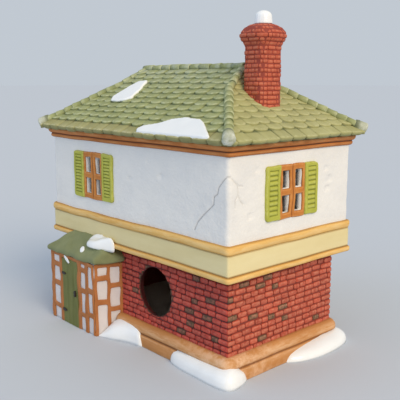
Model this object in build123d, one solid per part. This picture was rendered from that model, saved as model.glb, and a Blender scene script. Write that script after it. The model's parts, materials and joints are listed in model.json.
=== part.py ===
from build123d import *
import os
from math import cos, hypot, pi, sin

# A cast ceramic village house: brick storey, jettied plaster storey and tiled hipped roof.
# Millimetres. X runs along the house, +Y is the rear with the lamp hole and +Z is up.
# The origin is the middle of the house on the surface that it stands on.
# Left and right are as seen from the front, so the left end looks along -X.

# Cast walls and storeys
WALL = 4.0
JETTY_LENGTH = 167.0
JETTY_DEPTH = 100.0
JETTY_OVERHANG = 7.0
GROUND_HEIGHT = 56.0
UPPER_HEIGHT = 54.1
PLASTER_INSET = 0.8
FLOOR_THICKNESS = 4.0

# Hole for the lamp in the rear brick wall
LAMP_HOLE_DIAMETER = 29.0
LAMP_HOLE_PORCH_GAP = 18.5

# Mouldings that run round the house
PLINTH_HEIGHT = 13.5
PLINTH_BOARD = 7.0
PLINTH_PROJECTION = 5.0
PLINTH_GROOVE = 0.9
PLINTH_TOP_LEDGE = 1.2
SILL_HEIGHT = 3.2
SILL_PROJECTION = 0.4
FASCIA_HEIGHT = 11.2
STRING_HEIGHT = 4.6
STRING_PROJECTION = 1.3
CORNICE_HEIGHT = 4.8
CORNICE_PROJECTION = 2.4

# Hipped roof and its tile courses
EAVE_OVERHANG = 6.1
SOFFIT_HEIGHT = 1.5
EAVE_EDGE = 2.2
EAVE_UNDERCUT = 1.8
ROOF_RISE = 34.0
HIP_RUN = 35.3
HIP_TOP_RUN = 7.5
LOW_COURSE_COUNT = 8
STEEP_COURSE_COUNT = 4
TILE_LIP = 2.4
TILE_HEAD = 0.6
TILE_WIDTH = 9.6
TILE_CORNER_WIDTH = 2.3
TILE_CORNER_DEPTH = 1.6
TILE_HIP_MARGIN = 3.0
TILE_CLEARANCE = 0.05
RIDGE_FLAT = 1.0
ROOF_THICKNESS = 5.5

# Half-round caps on the ridge and hips
CAP_RADIUS = 3.1
CAP_STEP = 0.5
CAP_OVERHANG = 1.5
CAP_SIDE_COUNT = 12
HIP_LOW_CAP_COUNT = 9
HIP_STEEP_CAP_COUNT = 4
RIDGE_CAP_COUNT = 10
RIDGE_CAP_LIFT = 1.2

# Chimney
CHIMNEY_SETBACK = 28.8
CHIMNEY_OFFSET = 1.7
CHIMNEY_WIDTH = 15.0
CHIMNEY_DEPTH = 17.0
CHIMNEY_CORNER = 4.0
NECK_ABOVE_RIDGE = 10.4
HEAD_SWELL = 2.8
HEAD_FLARE_HEIGHT = 6.1
HEAD_DOME_HEIGHT = 6.1
POT_DIAMETER = 8.8
POT_HEIGHT = 7.1
ROUND_SIDE_COUNT = 16

# Shuttered casement windows
FRAME_WIDTH = 20.0
FRAME_HEIGHT = 29.0
FRAME_RELIEF = 1.0
STILE = 2.0
MULLION = 4.6
RAIL = 3.3
TRANSOM = 3.5
SHUTTER_WIDTH = 11.0
SHUTTER_RELIEF = 1.5
SHUTTER_STILE = 2.2
SHUTTER_RAIL = 2.4
LOUVRE_COUNT = 11
LOUVRE_DEPTH = 0.8
WINDOW_SILL = 12.8
REAR_WINDOW_INSET = 47.7
LEFT_WINDOW_Y = 2.3
RIGHT_WINDOW_Y = 0.0
FRONT_WINDOW_INSET = 40.7
GROUND_FRAME_HEIGHT = 25.0
GROUND_WINDOW_INSET = 30.5

# Front door
DOOR_WIDTH = 18.0
DOOR_HEIGHT = 43.0
DOOR_RELIEF = 0.8
DOOR_PLANK_COUNT = 4
PLANK_GROOVE = 0.4
DOOR_JAMB = 2.6
STRAP_LENGTH = 5.0
STRAP_WIDTH = 1.7
STRAP_RELIEF = 0.6
HINGE_ABOVE_FOOT = 8.6
HINGE_BELOW_HEAD = 10.1
LATCH_HEIGHT = 22.3
LATCH_LENGTH = 4.0
LATCH_INSET = 2.4

# Lean-to porch on the rear wall
PORCH_SETBACK = 3.5
PORCH_WIDTH = 50.5
PORCH_CANT = 6.5
PORCH_DEPTH = 16.3
PORCH_DOOR_INSET = 23.3
LEAN_TO_LAP = 4.0
LEAN_TO_RISE = 11.5
LEAN_TO_EDGE = 2.8
LEAN_TO_OVERHANG = 1.8
LEAN_TO_FAR_HIP = 16.5
LEAN_TO_NEAR_HIP = 12.0
TIMBER_RELIEF = 0.8
FRONT_POST = 3.4
SIDE_POST = 1.9
CORNER_POST = 1.6
HEAD_RAIL = 2.4
RAIL_HEIGHT = 3.2

# Heights of the rails in each bay of the porch's timber frame, as shares of its height
FAR_BAY = (0.21, 0.54, 0.82)
MIDDLE_BAY = (0.23, 0.57, 0.86)
CORNER_BAY = (0.27, 0.61)
SIDE_BAY = (0.47, 0.80)
WALL_BAY = (0.37, 0.69)

# Snow
ROOF_SNOW = 1.0
CORNER_DRIFT_HEIGHT = 9.4
CORNER_DRIFT_SPREAD = 3.7
END_DRIFT_HEIGHT = 7.2
END_DRIFT_SPREAD = 8.2
DOME_SEGMENT_COUNT = 5
DOME_FLAT = 0.2

# Outlines of the snow on the roof in plan, as distances in from a corner of the eave: along it and across it
UPPER_SNOW = (
    (64.3, 40.2), (57.0, 39.6), (53.0, 35.3), (50.8, 30.4), (48.4, 25.6), (50.5, 22.4), (57.0, 21.8),
    (64.0, 23.2), (68.0, 25.6), (67.0, 30.0), (67.6, 32.4), (65.6, 36.0),
)
EAVE_SNOW = (
    (71.8, 1.0), (69.5, 3.4), (59.0, 6.2), (52.0, 9.8), (43.5, 11.3), (31.5, 10.6), (26.8, 8.6), (20.0, 4.2),
    (13.8, 0.2), (17.0, -0.5), (44.0, -0.5), (70.0, -0.5),
)

# Outline of the snow on the porch roof: along from the porch's corner and in from the eave
PORCH_SNOW = (
    (13.7, 6.1), (13.9, 7.5), (10.3, 9.4), (6.0, 11.0), (1.0, 17.0), (-2.2, 17.4), (-3.4, 14.5), (-3.8, 11.0),
    (-3.4, 7.2), (-0.9, 3.8), (2.9, 3.0), (7.0, 3.6), (10.8, 5.0),
)
PORCH_SNOW_SPOT = (13.8, 2.5)
PORCH_SNOW_SPOT_RADIUS = 1.6

# Drip of snow over the head of the porch door: its half sizes, its tilt and its place from the door's middle
DRIP_LENGTH = 3.6
DRIP_WIDTH = 1.2
DRIP_RELIEF = 0.7
DRIP_TILT = -35.0
DRIP_ASIDE = -2.4
DRIP_BELOW_HEAD = 2.5

# Outlines of the drifts in plan, from a corner of the plinth: along X and along Y
CORNER_DRIFT = (
    (45.5, -1.5), (34.0, 2.6), (14.0, 3.7), (-1.8, 2.6), (-3.7, -6.0), (-0.5, -15.0), (7.0, -14.0),
    (12.0, -9.0), (32.0, -8.0),
)
END_DRIFT = (
    (1.0, 50.0), (-5.2, 41.0), (-8.2, 26.0), (-7.6, 10.0), (-3.6, -3.4), (8.0, -6.2), (18.0, -1.0),
    (16.0, 9.0), (12.0, 30.0),
)

# Mounds of the heap by the porch: along X from the porch's foot, along Y from the plinth, reach and height
HEAP_MOUNDS = (
    (2.0, 0.0, 10.8, 13.2), (-5.5, -2.0, 9.8, 13.2), (-13.0, -4.0, 8.6, 13.0), (-19.0, -4.5, 7.4, 12.4),
)

# Heights of the levels, from the surface up
sill_top = GROUND_HEIGHT + SILL_HEIGHT
fascia_top = sill_top + FASCIA_HEIGHT
wall_top = fascia_top + UPPER_HEIGHT
tile_bottom = wall_top + SOFFIT_HEIGHT
eave_level = tile_bottom + EAVE_EDGE
ridge_level = eave_level + ROOF_RISE

# Outside sizes of the storeys
ground_length = JETTY_LENGTH - 2 * JETTY_OVERHANG
ground_depth = JETTY_DEPTH - 2 * JETTY_OVERHANG
plaster_length = JETTY_LENGTH - 2 * PLASTER_INSET
plaster_depth = JETTY_DEPTH - 2 * PLASTER_INSET

# Half sizes of the roof body under the tiles, at each course, from the eave up
course_count = LOW_COURSE_COUNT + STEEP_COURSE_COUNT
eave_half_length = plaster_length / 2 + EAVE_OVERHANG - TILE_LIP
eave_half_depth = plaster_depth / 2 + EAVE_OVERHANG - TILE_LIP
break_half_length = eave_half_length - HIP_RUN
ridge_half_length = break_half_length - HIP_TOP_RUN
course_depth = (eave_half_depth - RIDGE_FLAT) / course_count
course_levels = [eave_level + ROOF_RISE * i / course_count for i in range(course_count + 1)]
half_depths = [eave_half_depth - course_depth * i for i in range(course_count + 1)]
low_run = HIP_RUN / LOW_COURSE_COUNT
steep_run = HIP_TOP_RUN / STEEP_COURSE_COUNT
half_lengths = [eave_half_length - low_run * i for i in range(LOW_COURSE_COUNT)]
half_lengths += [break_half_length - steep_run * i for i in range(STEEP_COURSE_COUNT + 1)]

# Porch
brick_face = ground_depth / 2
porch_face = brick_face + PORCH_DEPTH
lean_to_top = GROUND_HEIGHT + LEAN_TO_LAP
lean_to_eave = lean_to_top - LEAN_TO_RISE
porch_height = lean_to_eave - LEAN_TO_EDGE
porch_far_x = ground_length / 2 - PORCH_SETBACK
porch_corner_x = porch_far_x - PORCH_WIDTH
porch_foot_x = porch_corner_x - PORCH_CANT
porch_door_x = porch_far_x - PORCH_DOOR_INSET

# Openings in the brick walls stand midway between the plinth and the jetty
brick_middle = (PLINTH_HEIGHT + GROUND_HEIGHT) / 2
lamp_hole_x = porch_foot_x - LAMP_HOLE_PORCH_GAP - LAMP_HOLE_DIAMETER / 2

# Beyond every part of the house, for cuts that pass right through
REACH = JETTY_LENGTH


def block(length, depth, bottom, top):
    """A block centred on the house, between two heights."""
    body = Box(length, depth, top - bottom, align=(Align.CENTER, Align.CENTER, Align.MIN))
    return Pos(0, 0, bottom) * body


def biggest(shape):
    """The largest solid of a shape, without crumbs that a cut leaves."""
    return max(shape.solids(), key=lambda solid: solid.volume)


def dome_points(radius, bottom, top):
    """Radius and height up the quarter ellipse of a dome, from its rim to the small flat on top."""
    turns = [pi / 2 * i / DOME_SEGMENT_COUNT for i in range(DOME_SEGMENT_COUNT)]
    rows = [(radius * cos(turn), bottom + (top - bottom) * sin(turn)) for turn in turns]
    return rows + [(radius * DOME_FLAT, top)]


def ring(plane, radius, count):
    """Corners of a regular polygon on a plane."""
    turns = [2 * pi * i / count for i in range(count)]
    return [plane.from_local_coords((radius * cos(turn), radius * sin(turn), 0)) for turn in turns]


def faceted(rings):
    """A solid with flat faces through rings of corners, closed at both ends."""
    outlines = [rings[0], rings[-1]]
    for low, high in zip(rings, rings[1:]):
        outlines += [(low[i], low[i - 1], high[i - 1], high[i]) for i in range(len(low))]
    return Solid(Shell([Face(Wire.make_polygon(outline)) for outline in outlines]))


def turned(rows):
    """A faceted solid round the Z axis, from its radius at each height."""
    return faceted([ring(Plane((0, 0, height)), radius, ROUND_SIDE_COUNT) for radius, height in rows])


def inwards(corner, outline):
    """Plan points of an outline that is measured in from a corner, towards the middle of the house."""
    x, y = corner
    return [(x - along if x > 0 else x + along, y - across) for along, across in outline]


def crossed(end_face, side_face):
    """The body that has one outline seen along Y and the other seen along X, with mitred corners."""
    along_y = extrude(Plane.XZ * end_face, amount=REACH, both=True)
    along_x = extrude(Plane.YZ * side_face, amount=REACH, both=True)
    return along_y & along_x


def moulding(profile, length, depth, wall, bottom, top):
    """A moulding profile carried round a rectangular wall, solid to that depth behind its face."""
    faces = []
    for half in (length / 2, depth / 2):
        one_side = Pos(half, 0) * profile
        middle = Pos(0, (bottom + top) / 2) * Rectangle(2 * half, top - bottom)
        faces.append(middle + one_side + mirror(one_side, about=Plane.YZ))
    return crossed(*faces) - block(length - 2 * wall, depth - 2 * wall, bottom, top)


# Storeys

def wall_panels(length, depth, bottom, top):
    """The rear, front, left and right walls of a storey, with the ends butted between the long walls."""
    height = top - bottom
    long_wall = Box(length, WALL, height)
    end_wall = Box(WALL, depth - 2 * WALL, height)
    middle = bottom + height / 2
    rear = Pos(0, depth / 2 - WALL / 2, middle) * long_wall
    front = Pos(0, WALL / 2 - depth / 2, middle) * long_wall
    left = Pos(WALL / 2 - length / 2, 0, middle) * end_wall
    right = Pos(length / 2 - WALL / 2, 0, middle) * end_wall
    return rear, front, left, right


def lamp_hole():
    """The cutter for the lamp hole."""
    centre = Plane((lamp_hole_x, brick_face, brick_middle), x_dir=(-1, 0, 0), z_dir=(0, 1, 0))
    return extrude(centre * Circle(LAMP_HOLE_DIAMETER / 2), amount=2 * WALL, both=True)


def floor_plate():
    """The plate that closes the base, inside the four brick walls."""
    return block(ground_length - 2 * WALL, ground_depth - 2 * WALL, 0, FLOOR_THICKNESS)


def plinth(gaps):
    """A board with a groove above it and an ovolo up to the brick face, open where gaps stand."""
    back = PLINTH_PROJECTION - PLINTH_GROOVE
    ovolo_height = PLINTH_HEIGHT - PLINTH_BOARD
    outline = Polyline(
        (PLINTH_TOP_LEDGE, PLINTH_HEIGHT), (0, PLINTH_HEIGHT), (0, 0), (PLINTH_PROJECTION, 0),
        (PLINTH_PROJECTION, PLINTH_BOARD), (back, PLINTH_BOARD),
    )
    swell = (PLINTH_PROJECTION - PLINTH_GROOVE / 4, PLINTH_BOARD + ovolo_height / 4)
    outline += ThreePointArc((back, PLINTH_BOARD), swell, (PLINTH_TOP_LEDGE, PLINTH_HEIGHT))
    ring = moulding(make_face(outline), ground_length, ground_depth, 0, 0, PLINTH_HEIGHT)
    return ring - gaps


def half_round(projection, bottom, top):
    """A rounded bead that stands out from a wall between two heights."""
    middle = (bottom + top) / 2
    bead = ThreePointArc((0, bottom), (projection, middle), (0, top))
    return make_face(bead + Line((0, top), (0, bottom)))


def jetty_sill():
    """The tan moulding that rests on the brick walls and carries the overhang."""
    bead = half_round(SILL_PROJECTION, GROUND_HEIGHT, sill_top)
    return moulding(bead, JETTY_LENGTH, JETTY_DEPTH, JETTY_OVERHANG + WALL, GROUND_HEIGHT, sill_top)


def jetty_fascia():
    """The cream band round the overhang."""
    inside = block(JETTY_LENGTH - 2 * WALL, JETTY_DEPTH - 2 * WALL, sill_top, fascia_top)
    return block(JETTY_LENGTH, JETTY_DEPTH, sill_top, fascia_top) - inside


def string_course():
    """The tan bead on the ledge of the fascia, round the foot of the plaster walls."""
    bead = half_round(STRING_PROJECTION, fascia_top, fascia_top + STRING_HEIGHT)
    return moulding(bead, plaster_length, plaster_depth, 0, fascia_top, fascia_top + STRING_HEIGHT)


def eaves_cornice():
    """Two rolls, one above the other, under the eaves."""
    bottom = wall_top - CORNICE_HEIGHT
    middle = wall_top - CORNICE_HEIGHT / 2
    quarter = CORNICE_HEIGHT / 4
    bulge = 0.9 * quarter
    upper = CORNICE_PROJECTION - bulge
    lower = 0.3 * upper
    outline = ThreePointArc((lower, bottom), (lower + bulge, bottom + quarter), (lower, middle))
    outline += Line((lower, middle), (upper, middle))
    outline += ThreePointArc((upper, middle), (CORNICE_PROJECTION, middle + quarter), (upper, wall_top))
    outline += Polyline((upper, wall_top), (0, wall_top), (0, bottom), (lower, bottom))
    return moulding(make_face(outline), plaster_length, plaster_depth, 0, bottom, wall_top)


# Roof

def mirrored_polygon(points):
    """A closed outline from the points of its right half, bottom first."""
    left = [(-across, up) for across, up in reversed(points)]
    return Polygon(*points, *left, align=None)


def roof_outline(halves, bottom, grow=0.0):
    """The plain roof body in profile, grown outwards by a distance."""
    points = [(halves[0] + grow, bottom)]
    points += [(half + grow, level) for half, level in zip(halves, course_levels)]
    return mirrored_polygon(points)


def tiled_outline(halves):
    """The roof in profile with a stepped course of tiles at each level."""
    points = [(halves[0] + TILE_LIP - EAVE_UNDERCUT, tile_bottom)]
    for i in range(course_count):
        points.append((halves[i] + TILE_LIP, course_levels[i]))
        points.append((halves[i + 1] + TILE_HEAD, course_levels[i + 1]))
    return mirrored_polygon(points)


def roof_core():
    """The roof body under the tiles, solid."""
    return crossed(roof_outline(half_lengths, wall_top), roof_outline(half_depths, wall_top))


def roof_shell(core):
    """The hollow roof body, which rests on the walls and the cornice."""
    inner = Pos(0, 0, -ROOF_THICKNESS) * core
    room = block(plaster_length - 2 * WALL, plaster_depth - 2 * WALL, 0, ridge_level)
    return core - (inner & room)


def hip_plan(spread):
    """Plan points of one hip: the ridge end, the change of slope and past the eave corner."""
    low = half_depths[LOW_COURSE_COUNT]
    eave = (eave_half_length + spread * HIP_RUN, eave_half_depth + spread * (eave_half_depth - low))
    return (ridge_half_length, 0), (break_half_length, low), eave


def slope_prism(side):
    """The space over one slope of the roof, bounded by its hips."""
    ridge, knee, eave = hip_plan(spread=0.3)
    corners = {
        "rear": [(-ridge[0], 0), (-knee[0], knee[1]), (-eave[0], eave[1]), eave, knee, ridge],
        "right": [ridge, knee, eave, (eave[0], -eave[1]), (knee[0], -knee[1])],
    }
    opposite = {"front": "rear", "left": "right"}
    outline = Polygon(*corners[opposite.get(side, side)], align=None)
    if side in opposite:
        outline = Rot(0, 0, 180) * outline
    return extrude(outline, amount=2 * ridge_level, dir=(0, 0, 1))


def tile_corners(course, half, half_across):
    """Cutters that clip the butt corners of one course on the +Y slope, staggered from the course below."""
    lip = half + TILE_LIP
    bottom = tile_bottom - EAVE_EDGE if course == 0 else course_levels[course] - TILE_CLEARANCE
    top = course_levels[course + 1] - TILE_CLEARANCE
    reach = half_across - TILE_HIP_MARGIN
    stagger = TILE_WIDTH / 2 * (course % 2)
    steps = int(reach / TILE_WIDTH) + 1
    notch = Polygon(
        (-TILE_CORNER_WIDTH, lip + TILE_CLEARANCE), (0, lip - TILE_CORNER_DEPTH),
        (TILE_CORNER_WIDTH, lip + TILE_CLEARANCE), align=None,
    )
    cutter = extrude(notch, amount=top - bottom, dir=(0, 0, 1))
    joints = [i * TILE_WIDTH + stagger for i in range(-steps, steps + 1)]
    return [Pos(joint, 0, bottom) * cutter for joint in joints if abs(joint) < reach]


def slope_tiles(side, tiled, core):
    """The tiles of one slope: stepped courses whose butts have their corners clipped."""
    turn = {"rear": 0, "left": 90, "front": 180, "right": 270}[side]
    halves, halves_across = half_depths, half_lengths
    if side in ("left", "right"):
        halves, halves_across = half_lengths, half_depths
    cutters = []
    for course in range(course_count):
        cutters += tile_corners(course, halves[course], halves_across[course])
    slope = biggest((tiled & slope_prism(side)) - core)
    return biggest(slope - [Rot(0, 0, turn) * cutter for cutter in cutters])


def cap_row(start, end, count):
    """Half-round cap tiles along a straight line, each lapped over the one before it, thick end first."""
    run = end - start
    pitch = run / count
    caps = []
    for i in range(count):
        foot = Plane(origin=start + pitch * i, x_dir=(0, 0, 1), z_dir=run)
        head = Plane(origin=start + pitch * (i + 1), x_dir=(0, 0, 1), z_dir=run)
        ends = [ring(foot, CAP_RADIUS, CAP_SIDE_COUNT), ring(head, CAP_RADIUS - CAP_STEP, CAP_SIDE_COUNT)]
        caps.append(faceted(ends))
    return caps[0].fuse(*caps[1:])


def hip_caps(side_x, side_y, roof_body, ridge):
    """The caps down one hip, bedded on the tiles and butted to the ridge caps."""
    middle = TILE_LIP / 2
    eave = Vector(side_x * (eave_half_length + middle), side_y * (eave_half_depth + middle), eave_level)
    knee_level = course_levels[LOW_COURSE_COUNT]
    knee_y = half_depths[LOW_COURSE_COUNT] + middle
    knee = Vector(side_x * (break_half_length + middle), side_y * knee_y, knee_level)
    top = Vector(side_x * ridge_half_length, 0, ridge_level)
    foot = eave + (eave - knee).normalized() * CAP_OVERHANG
    row = cap_row(foot, knee, HIP_LOW_CAP_COUNT) + cap_row(knee, top, HIP_STEEP_CAP_COUNT)
    half_space = Pos(0, side_y * REACH / 2, tile_bottom + REACH / 2) * Box(2 * REACH, REACH, REACH)
    return biggest((row & half_space) - roof_body - ridge)


def ridge_caps(roof_body):
    """The caps along the ridge."""
    level = ridge_level + RIDGE_CAP_LIFT
    half = ridge_half_length + CAP_RADIUS / 2
    row = cap_row(Vector(-half, 0, level), Vector(half, 0, level), RIDGE_CAP_COUNT)
    return biggest(row - roof_body)


# Chimney

def chimney_sections():
    """Height and outward growth of the chimney's section, from the neck up to the pot."""
    neck = ridge_level + NECK_ABOVE_RIDGE
    widest = neck + HEAD_FLARE_HEIGHT
    rows = [(neck, 0.0), (neck + HEAD_FLARE_HEIGHT * 0.4, HEAD_SWELL * 0.35)]
    rows += [(neck + HEAD_FLARE_HEIGHT * 0.75, HEAD_SWELL * 0.85), (widest, HEAD_SWELL)]
    shoulder = (POT_DIAMETER - CHIMNEY_WIDTH) / 2
    drop = HEAD_SWELL - shoulder
    for share in (0.35, 0.65, 0.88, 1.0):
        rows.append((widest + HEAD_DOME_HEIGHT * share, HEAD_SWELL - drop * share ** 2.2))
    return rows


def chimney_section(growth):
    """Corners of the chimney's section, grown outwards: a rectangle with three facets round each corner."""
    width = CHIMNEY_WIDTH / 2 + growth
    depth = CHIMNEY_DEPTH / 2 + growth
    corner = min(CHIMNEY_CORNER + max(growth, 0), 0.94 * width)
    turns = [pi / 6 * i for i in range(4)]
    quarter = [(width - corner * (1 - cos(turn)), depth - corner * (1 - sin(turn))) for turn in turns]
    half = quarter + [(-across, along) for across, along in reversed(quarter)]
    return half + [(-across, -along) for across, along in half]


def chimney_stack(roof_body):
    """A shaft with rounded corners cut to the roof, with a head that swells and closes to the pot."""
    x = CHIMNEY_SETBACK - eave_half_length - TILE_LIP
    rows = chimney_sections()
    rings = []
    for level, growth in [(wall_top, 0.0)] + rows:
        rings.append([(across, along, level) for across, along in chimney_section(growth)])
    return biggest(Pos(x, CHIMNEY_OFFSET) * faceted(rings) - roof_body)


def chimney_pot():
    """A short round pot with a domed top."""
    x = CHIMNEY_SETBACK - eave_half_length - TILE_LIP
    base = chimney_sections()[-1][0]
    radius = POT_DIAMETER / 2
    neck = 0.92 * radius
    rim = POT_HEIGHT - 0.7 * radius
    crown = dome_points(neck, rim, POT_HEIGHT)
    return Pos(x, CHIMNEY_OFFSET, base) * turned([(radius, 0)] + crown)


# Windows and doors, drawn on the outside face of their wall: x to the right, y up, z outwards

def on_wall(side, along, height, length, depth):
    """The plane on the outside of a storey's wall at a place along it."""
    places = {
        "rear": ((along, depth / 2, height), (-1, 0, 0), (0, 1, 0)),
        "front": ((along, -depth / 2, height), (1, 0, 0), (0, -1, 0)),
        "left": ((-length / 2, along, height), (0, -1, 0), (-1, 0, 0)),
        "right": ((length / 2, along, height), (0, 1, 0), (1, 0, 0)),
    }
    origin, across, outwards = places[side]
    return Plane(origin, x_dir=across, z_dir=outwards)


def panes(height):
    """The four open lights of a casement."""
    pane_width = (FRAME_WIDTH - 2 * STILE - MULLION) / 2
    pane_height = (height - 2 * RAIL - TRANSOM) / 2
    spots = GridLocations(pane_width + MULLION, pane_height + TRANSOM, 2, 2)
    return Sketch() + spots * Rectangle(pane_width, pane_height)


def casement(height):
    """A frame with two rows of two open lights."""
    return extrude(Rectangle(FRAME_WIDTH, height) - panes(height), amount=FRAME_RELIEF)


def shutter():
    """A shutter with a sunk panel of sloping louvres."""
    inner_width = SHUTTER_WIDTH - 2 * SHUTTER_STILE
    inner_height = FRAME_HEIGHT - 2 * SHUTTER_RAIL
    bed = SHUTTER_RELIEF - LOUVRE_DEPTH
    leaf = extrude(Rectangle(SHUTTER_WIDTH, FRAME_HEIGHT), amount=SHUTTER_RELIEF)
    leaf -= Pos(0, 0, bed) * extrude(Rectangle(inner_width, inner_height), amount=LOUVRE_DEPTH)
    pitch = inner_height / LOUVRE_COUNT
    slope = [(0, -inner_height / 2)]
    for i in range(LOUVRE_COUNT):
        foot = -inner_height / 2 + i * pitch
        slope += [(LOUVRE_DEPTH, foot), (LOUVRE_DEPTH * 0.2, foot + pitch)]
    slope.append((0, inner_height / 2))
    side_view = Plane((0, 0, bed), x_dir=(0, 0, 1), z_dir=(-1, 0, 0))
    return leaf + extrude(side_view * Polygon(*slope, align=None), amount=inner_width / 2, both=True)


def plank_door(height):
    """A door of upright planks with a groove at each joint, standing on y = 0."""
    leaf = Pos(0, height / 2) * extrude(Rectangle(DOOR_WIDTH, height), amount=DOOR_RELIEF)
    for i in range(1, DOOR_PLANK_COUNT):
        groove = Pos(i * DOOR_WIDTH / DOOR_PLANK_COUNT - DOOR_WIDTH / 2, height / 2, DOOR_RELIEF)
        leaf -= groove * Rot(0, 45, 0) * Box(PLANK_GROOVE, height, PLANK_GROOVE)
    return leaf


def strap_hinges(height, hung):
    """Two pointed straps at one edge of a door: hung is 1 for its right edge and -1 for its left."""
    point = -hung * STRAP_LENGTH
    shoulder = 0.7 * point
    half = STRAP_WIDTH / 2
    strap = Polygon((0, -half), (0, half), (shoulder, half), (point, 0), (shoulder, -half), align=None)
    plate = Pos(hung * DOOR_WIDTH / 2, 0, DOOR_RELIEF) * extrude(strap, amount=STRAP_RELIEF, dir=(0, 0, 1))
    return Pos(0, HINGE_ABOVE_FOOT) * plate + Pos(0, height - HINGE_BELOW_HEAD) * plate


def latch(hung):
    """An upright pull by the free edge of a door."""
    grip = extrude(SlotOverall(LATCH_LENGTH, STRAP_WIDTH), amount=2 * STRAP_RELIEF)
    return Pos(hung * (LATCH_INSET - DOOR_WIDTH / 2), LATCH_HEIGHT, DOOR_RELIEF) * Rot(0, 0, 90) * grip


def door_frame():
    """Two jambs and a head round the front door, deep enough to stop the plinth."""
    outside = Pos(0, (DOOR_HEIGHT + DOOR_JAMB) / 2)
    outside *= Rectangle(DOOR_WIDTH + 2 * DOOR_JAMB, DOOR_HEIGHT + DOOR_JAMB)
    opening = Pos(0, DOOR_HEIGHT / 2) * Rectangle(DOOR_WIDTH, DOOR_HEIGHT)
    return extrude(outside - opening, amount=PLINTH_PROJECTION)


# Porch

def porch_plan(grow, behind):
    """The porch in plan with its canted near side, grown outwards and carried behind the brick face."""
    slant = PORCH_CANT / PORCH_DEPTH
    back = brick_face - behind
    front = porch_face + grow
    near = porch_corner_x - grow
    return Polygon(
        (porch_far_x + grow, back), (porch_far_x + grow, front),
        (near, front), (near - slant * (front - back), back), align=None,
    )


def porch_block():
    """The porch as a solid, which stops the plinth."""
    return extrude(porch_plan(0, WALL), amount=porch_height, dir=(0, 0, 1))


def brick_block():
    """The brick storey as a solid."""
    return block(ground_length, ground_depth, 0, GROUND_HEIGHT)


def porch_walls():
    """Three walls that stand on the ground and end against the brick."""
    hollow = extrude(porch_plan(-WALL, 2 * WALL), amount=porch_height)
    return biggest(porch_block() - hollow - brick_block())


def porch_roof(jetty):
    """A lean-to roof, hipped at both ends, that laps up the face of the jetty."""
    far = porch_far_x + LEAN_TO_OVERHANG
    near = porch_foot_x - LEAN_TO_OVERHANG
    front = porch_face + LEAN_TO_OVERHANG
    crest = JETTY_DEPTH / 2 + SILL_PROJECTION
    ends = Polygon(
        (near, porch_height), (far, porch_height), (far, lean_to_eave), (far - LEAN_TO_FAR_HIP, lean_to_top),
        (near + LEAN_TO_NEAR_HIP, lean_to_top), (near, lean_to_eave), align=None,
    )
    slope = Polygon(
        (0, porch_height), (front, porch_height), (front, lean_to_eave), (crest, lean_to_top),
        (0, lean_to_top), align=None,
    )
    plan = extrude(porch_plan(LEAN_TO_OVERHANG, WALL), amount=lean_to_top)
    return biggest((crossed(ends, slope) & plan) - brick_block() - jetty)


def bays_between(start, end, post, rails_by_bay):
    """Equal bays between posts, as the start, the end and the rails of each."""
    count = len(rails_by_bay)
    width = (end - start - (count + 1) * post) / count
    pitch = width + post
    first = start + post
    return [(first + i * pitch, first + i * pitch + width, rails) for i, rails in enumerate(rails_by_bay)]


def bay_panels(start, end, rails):
    """The plaster panels of one bay, between its rails and up to the head rail."""
    edges = [0.0]
    for share in rails:
        edges += [share * porch_height - RAIL_HEIGHT / 2, share * porch_height + RAIL_HEIGHT / 2]
    edges.append(porch_height - HEAD_RAIL)
    panels = []
    for low, high in zip(edges[0::2], edges[1::2]):
        panels.append(Pos((start + end) / 2, (low + high) / 2) * Rectangle(end - start, high - low))
    return panels


def timber_frame(width, bays):
    """A face of posts and rails with its panels cut out, from x = 0 to its width and up from y = 0."""
    face = Pos(width / 2, porch_height / 2) * Rectangle(width, porch_height)
    for start, end, rails in bays:
        for panel in bay_panels(start, end, rails):
            face -= panel
    return extrude(face, amount=TIMBER_RELIEF)


def porch_timbers():
    """The timber frames on the front, the canted near side and the far side of the porch."""
    door_start = PORCH_DOOR_INSET - DOOR_WIDTH / 2
    door_end = PORCH_DOOR_INSET + DOOR_WIDTH / 2
    bays = bays_between(0, door_start, FRONT_POST, [FAR_BAY]) + [(door_start, door_end, ())]
    front_end = PORCH_WIDTH + FRONT_POST - CORNER_POST
    bays += bays_between(door_end, front_end, FRONT_POST, [MIDDLE_BAY, CORNER_BAY])
    front = Plane((porch_far_x, porch_face, 0), x_dir=(-1, 0, 0), z_dir=(0, 1, 0))
    near = Plane(
        (porch_corner_x, porch_face, 0), x_dir=(-PORCH_CANT, -PORCH_DEPTH, 0),
        z_dir=(-PORCH_DEPTH, PORCH_CANT, 0),
    )
    far = Plane((porch_far_x, brick_face, 0), x_dir=(0, 1, 0), z_dir=(1, 0, 0))
    near_width = hypot(PORCH_CANT, PORCH_DEPTH)
    near_bays = bays_between(0, near_width, SIDE_POST, [SIDE_BAY, WALL_BAY])
    far_bays = bays_between(0, PORCH_DEPTH, SIDE_POST, [WALL_BAY, SIDE_BAY])
    return {
        "porch_front_timbers": front * timber_frame(PORCH_WIDTH, bays),
        "porch_near_timbers": near * timber_frame(near_width, near_bays),
        "porch_far_timbers": far * timber_frame(PORCH_DEPTH, far_bays),
    }


# Snow

def patch(points, height):
    """A prism over a smooth closed outline in plan."""
    return extrude(make_face(Spline(*points, periodic=True)), amount=height, dir=(0, 0, 1))


def roof_snow(points, roof_body):
    """A sheet of snow on the rear slope, over an outline in plan."""
    bottom = eave_level - EAVE_EDGE / 2
    grow = TILE_LIP + ROOF_SNOW
    surface = crossed(roof_outline(half_lengths, bottom, grow), roof_outline(half_depths, bottom, grow))
    cover = extrude(Polygon(*points, align=None), amount=2 * ridge_level, dir=(0, 0, 1))
    return biggest((surface & cover) - roof_body)


def upper_roof_snow(roof_body):
    """A slanting streak high on the rear slope."""
    corner = (eave_half_length + TILE_LIP, eave_half_depth + TILE_LIP)
    return roof_snow(inwards(corner, UPPER_SNOW), roof_body)


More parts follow.
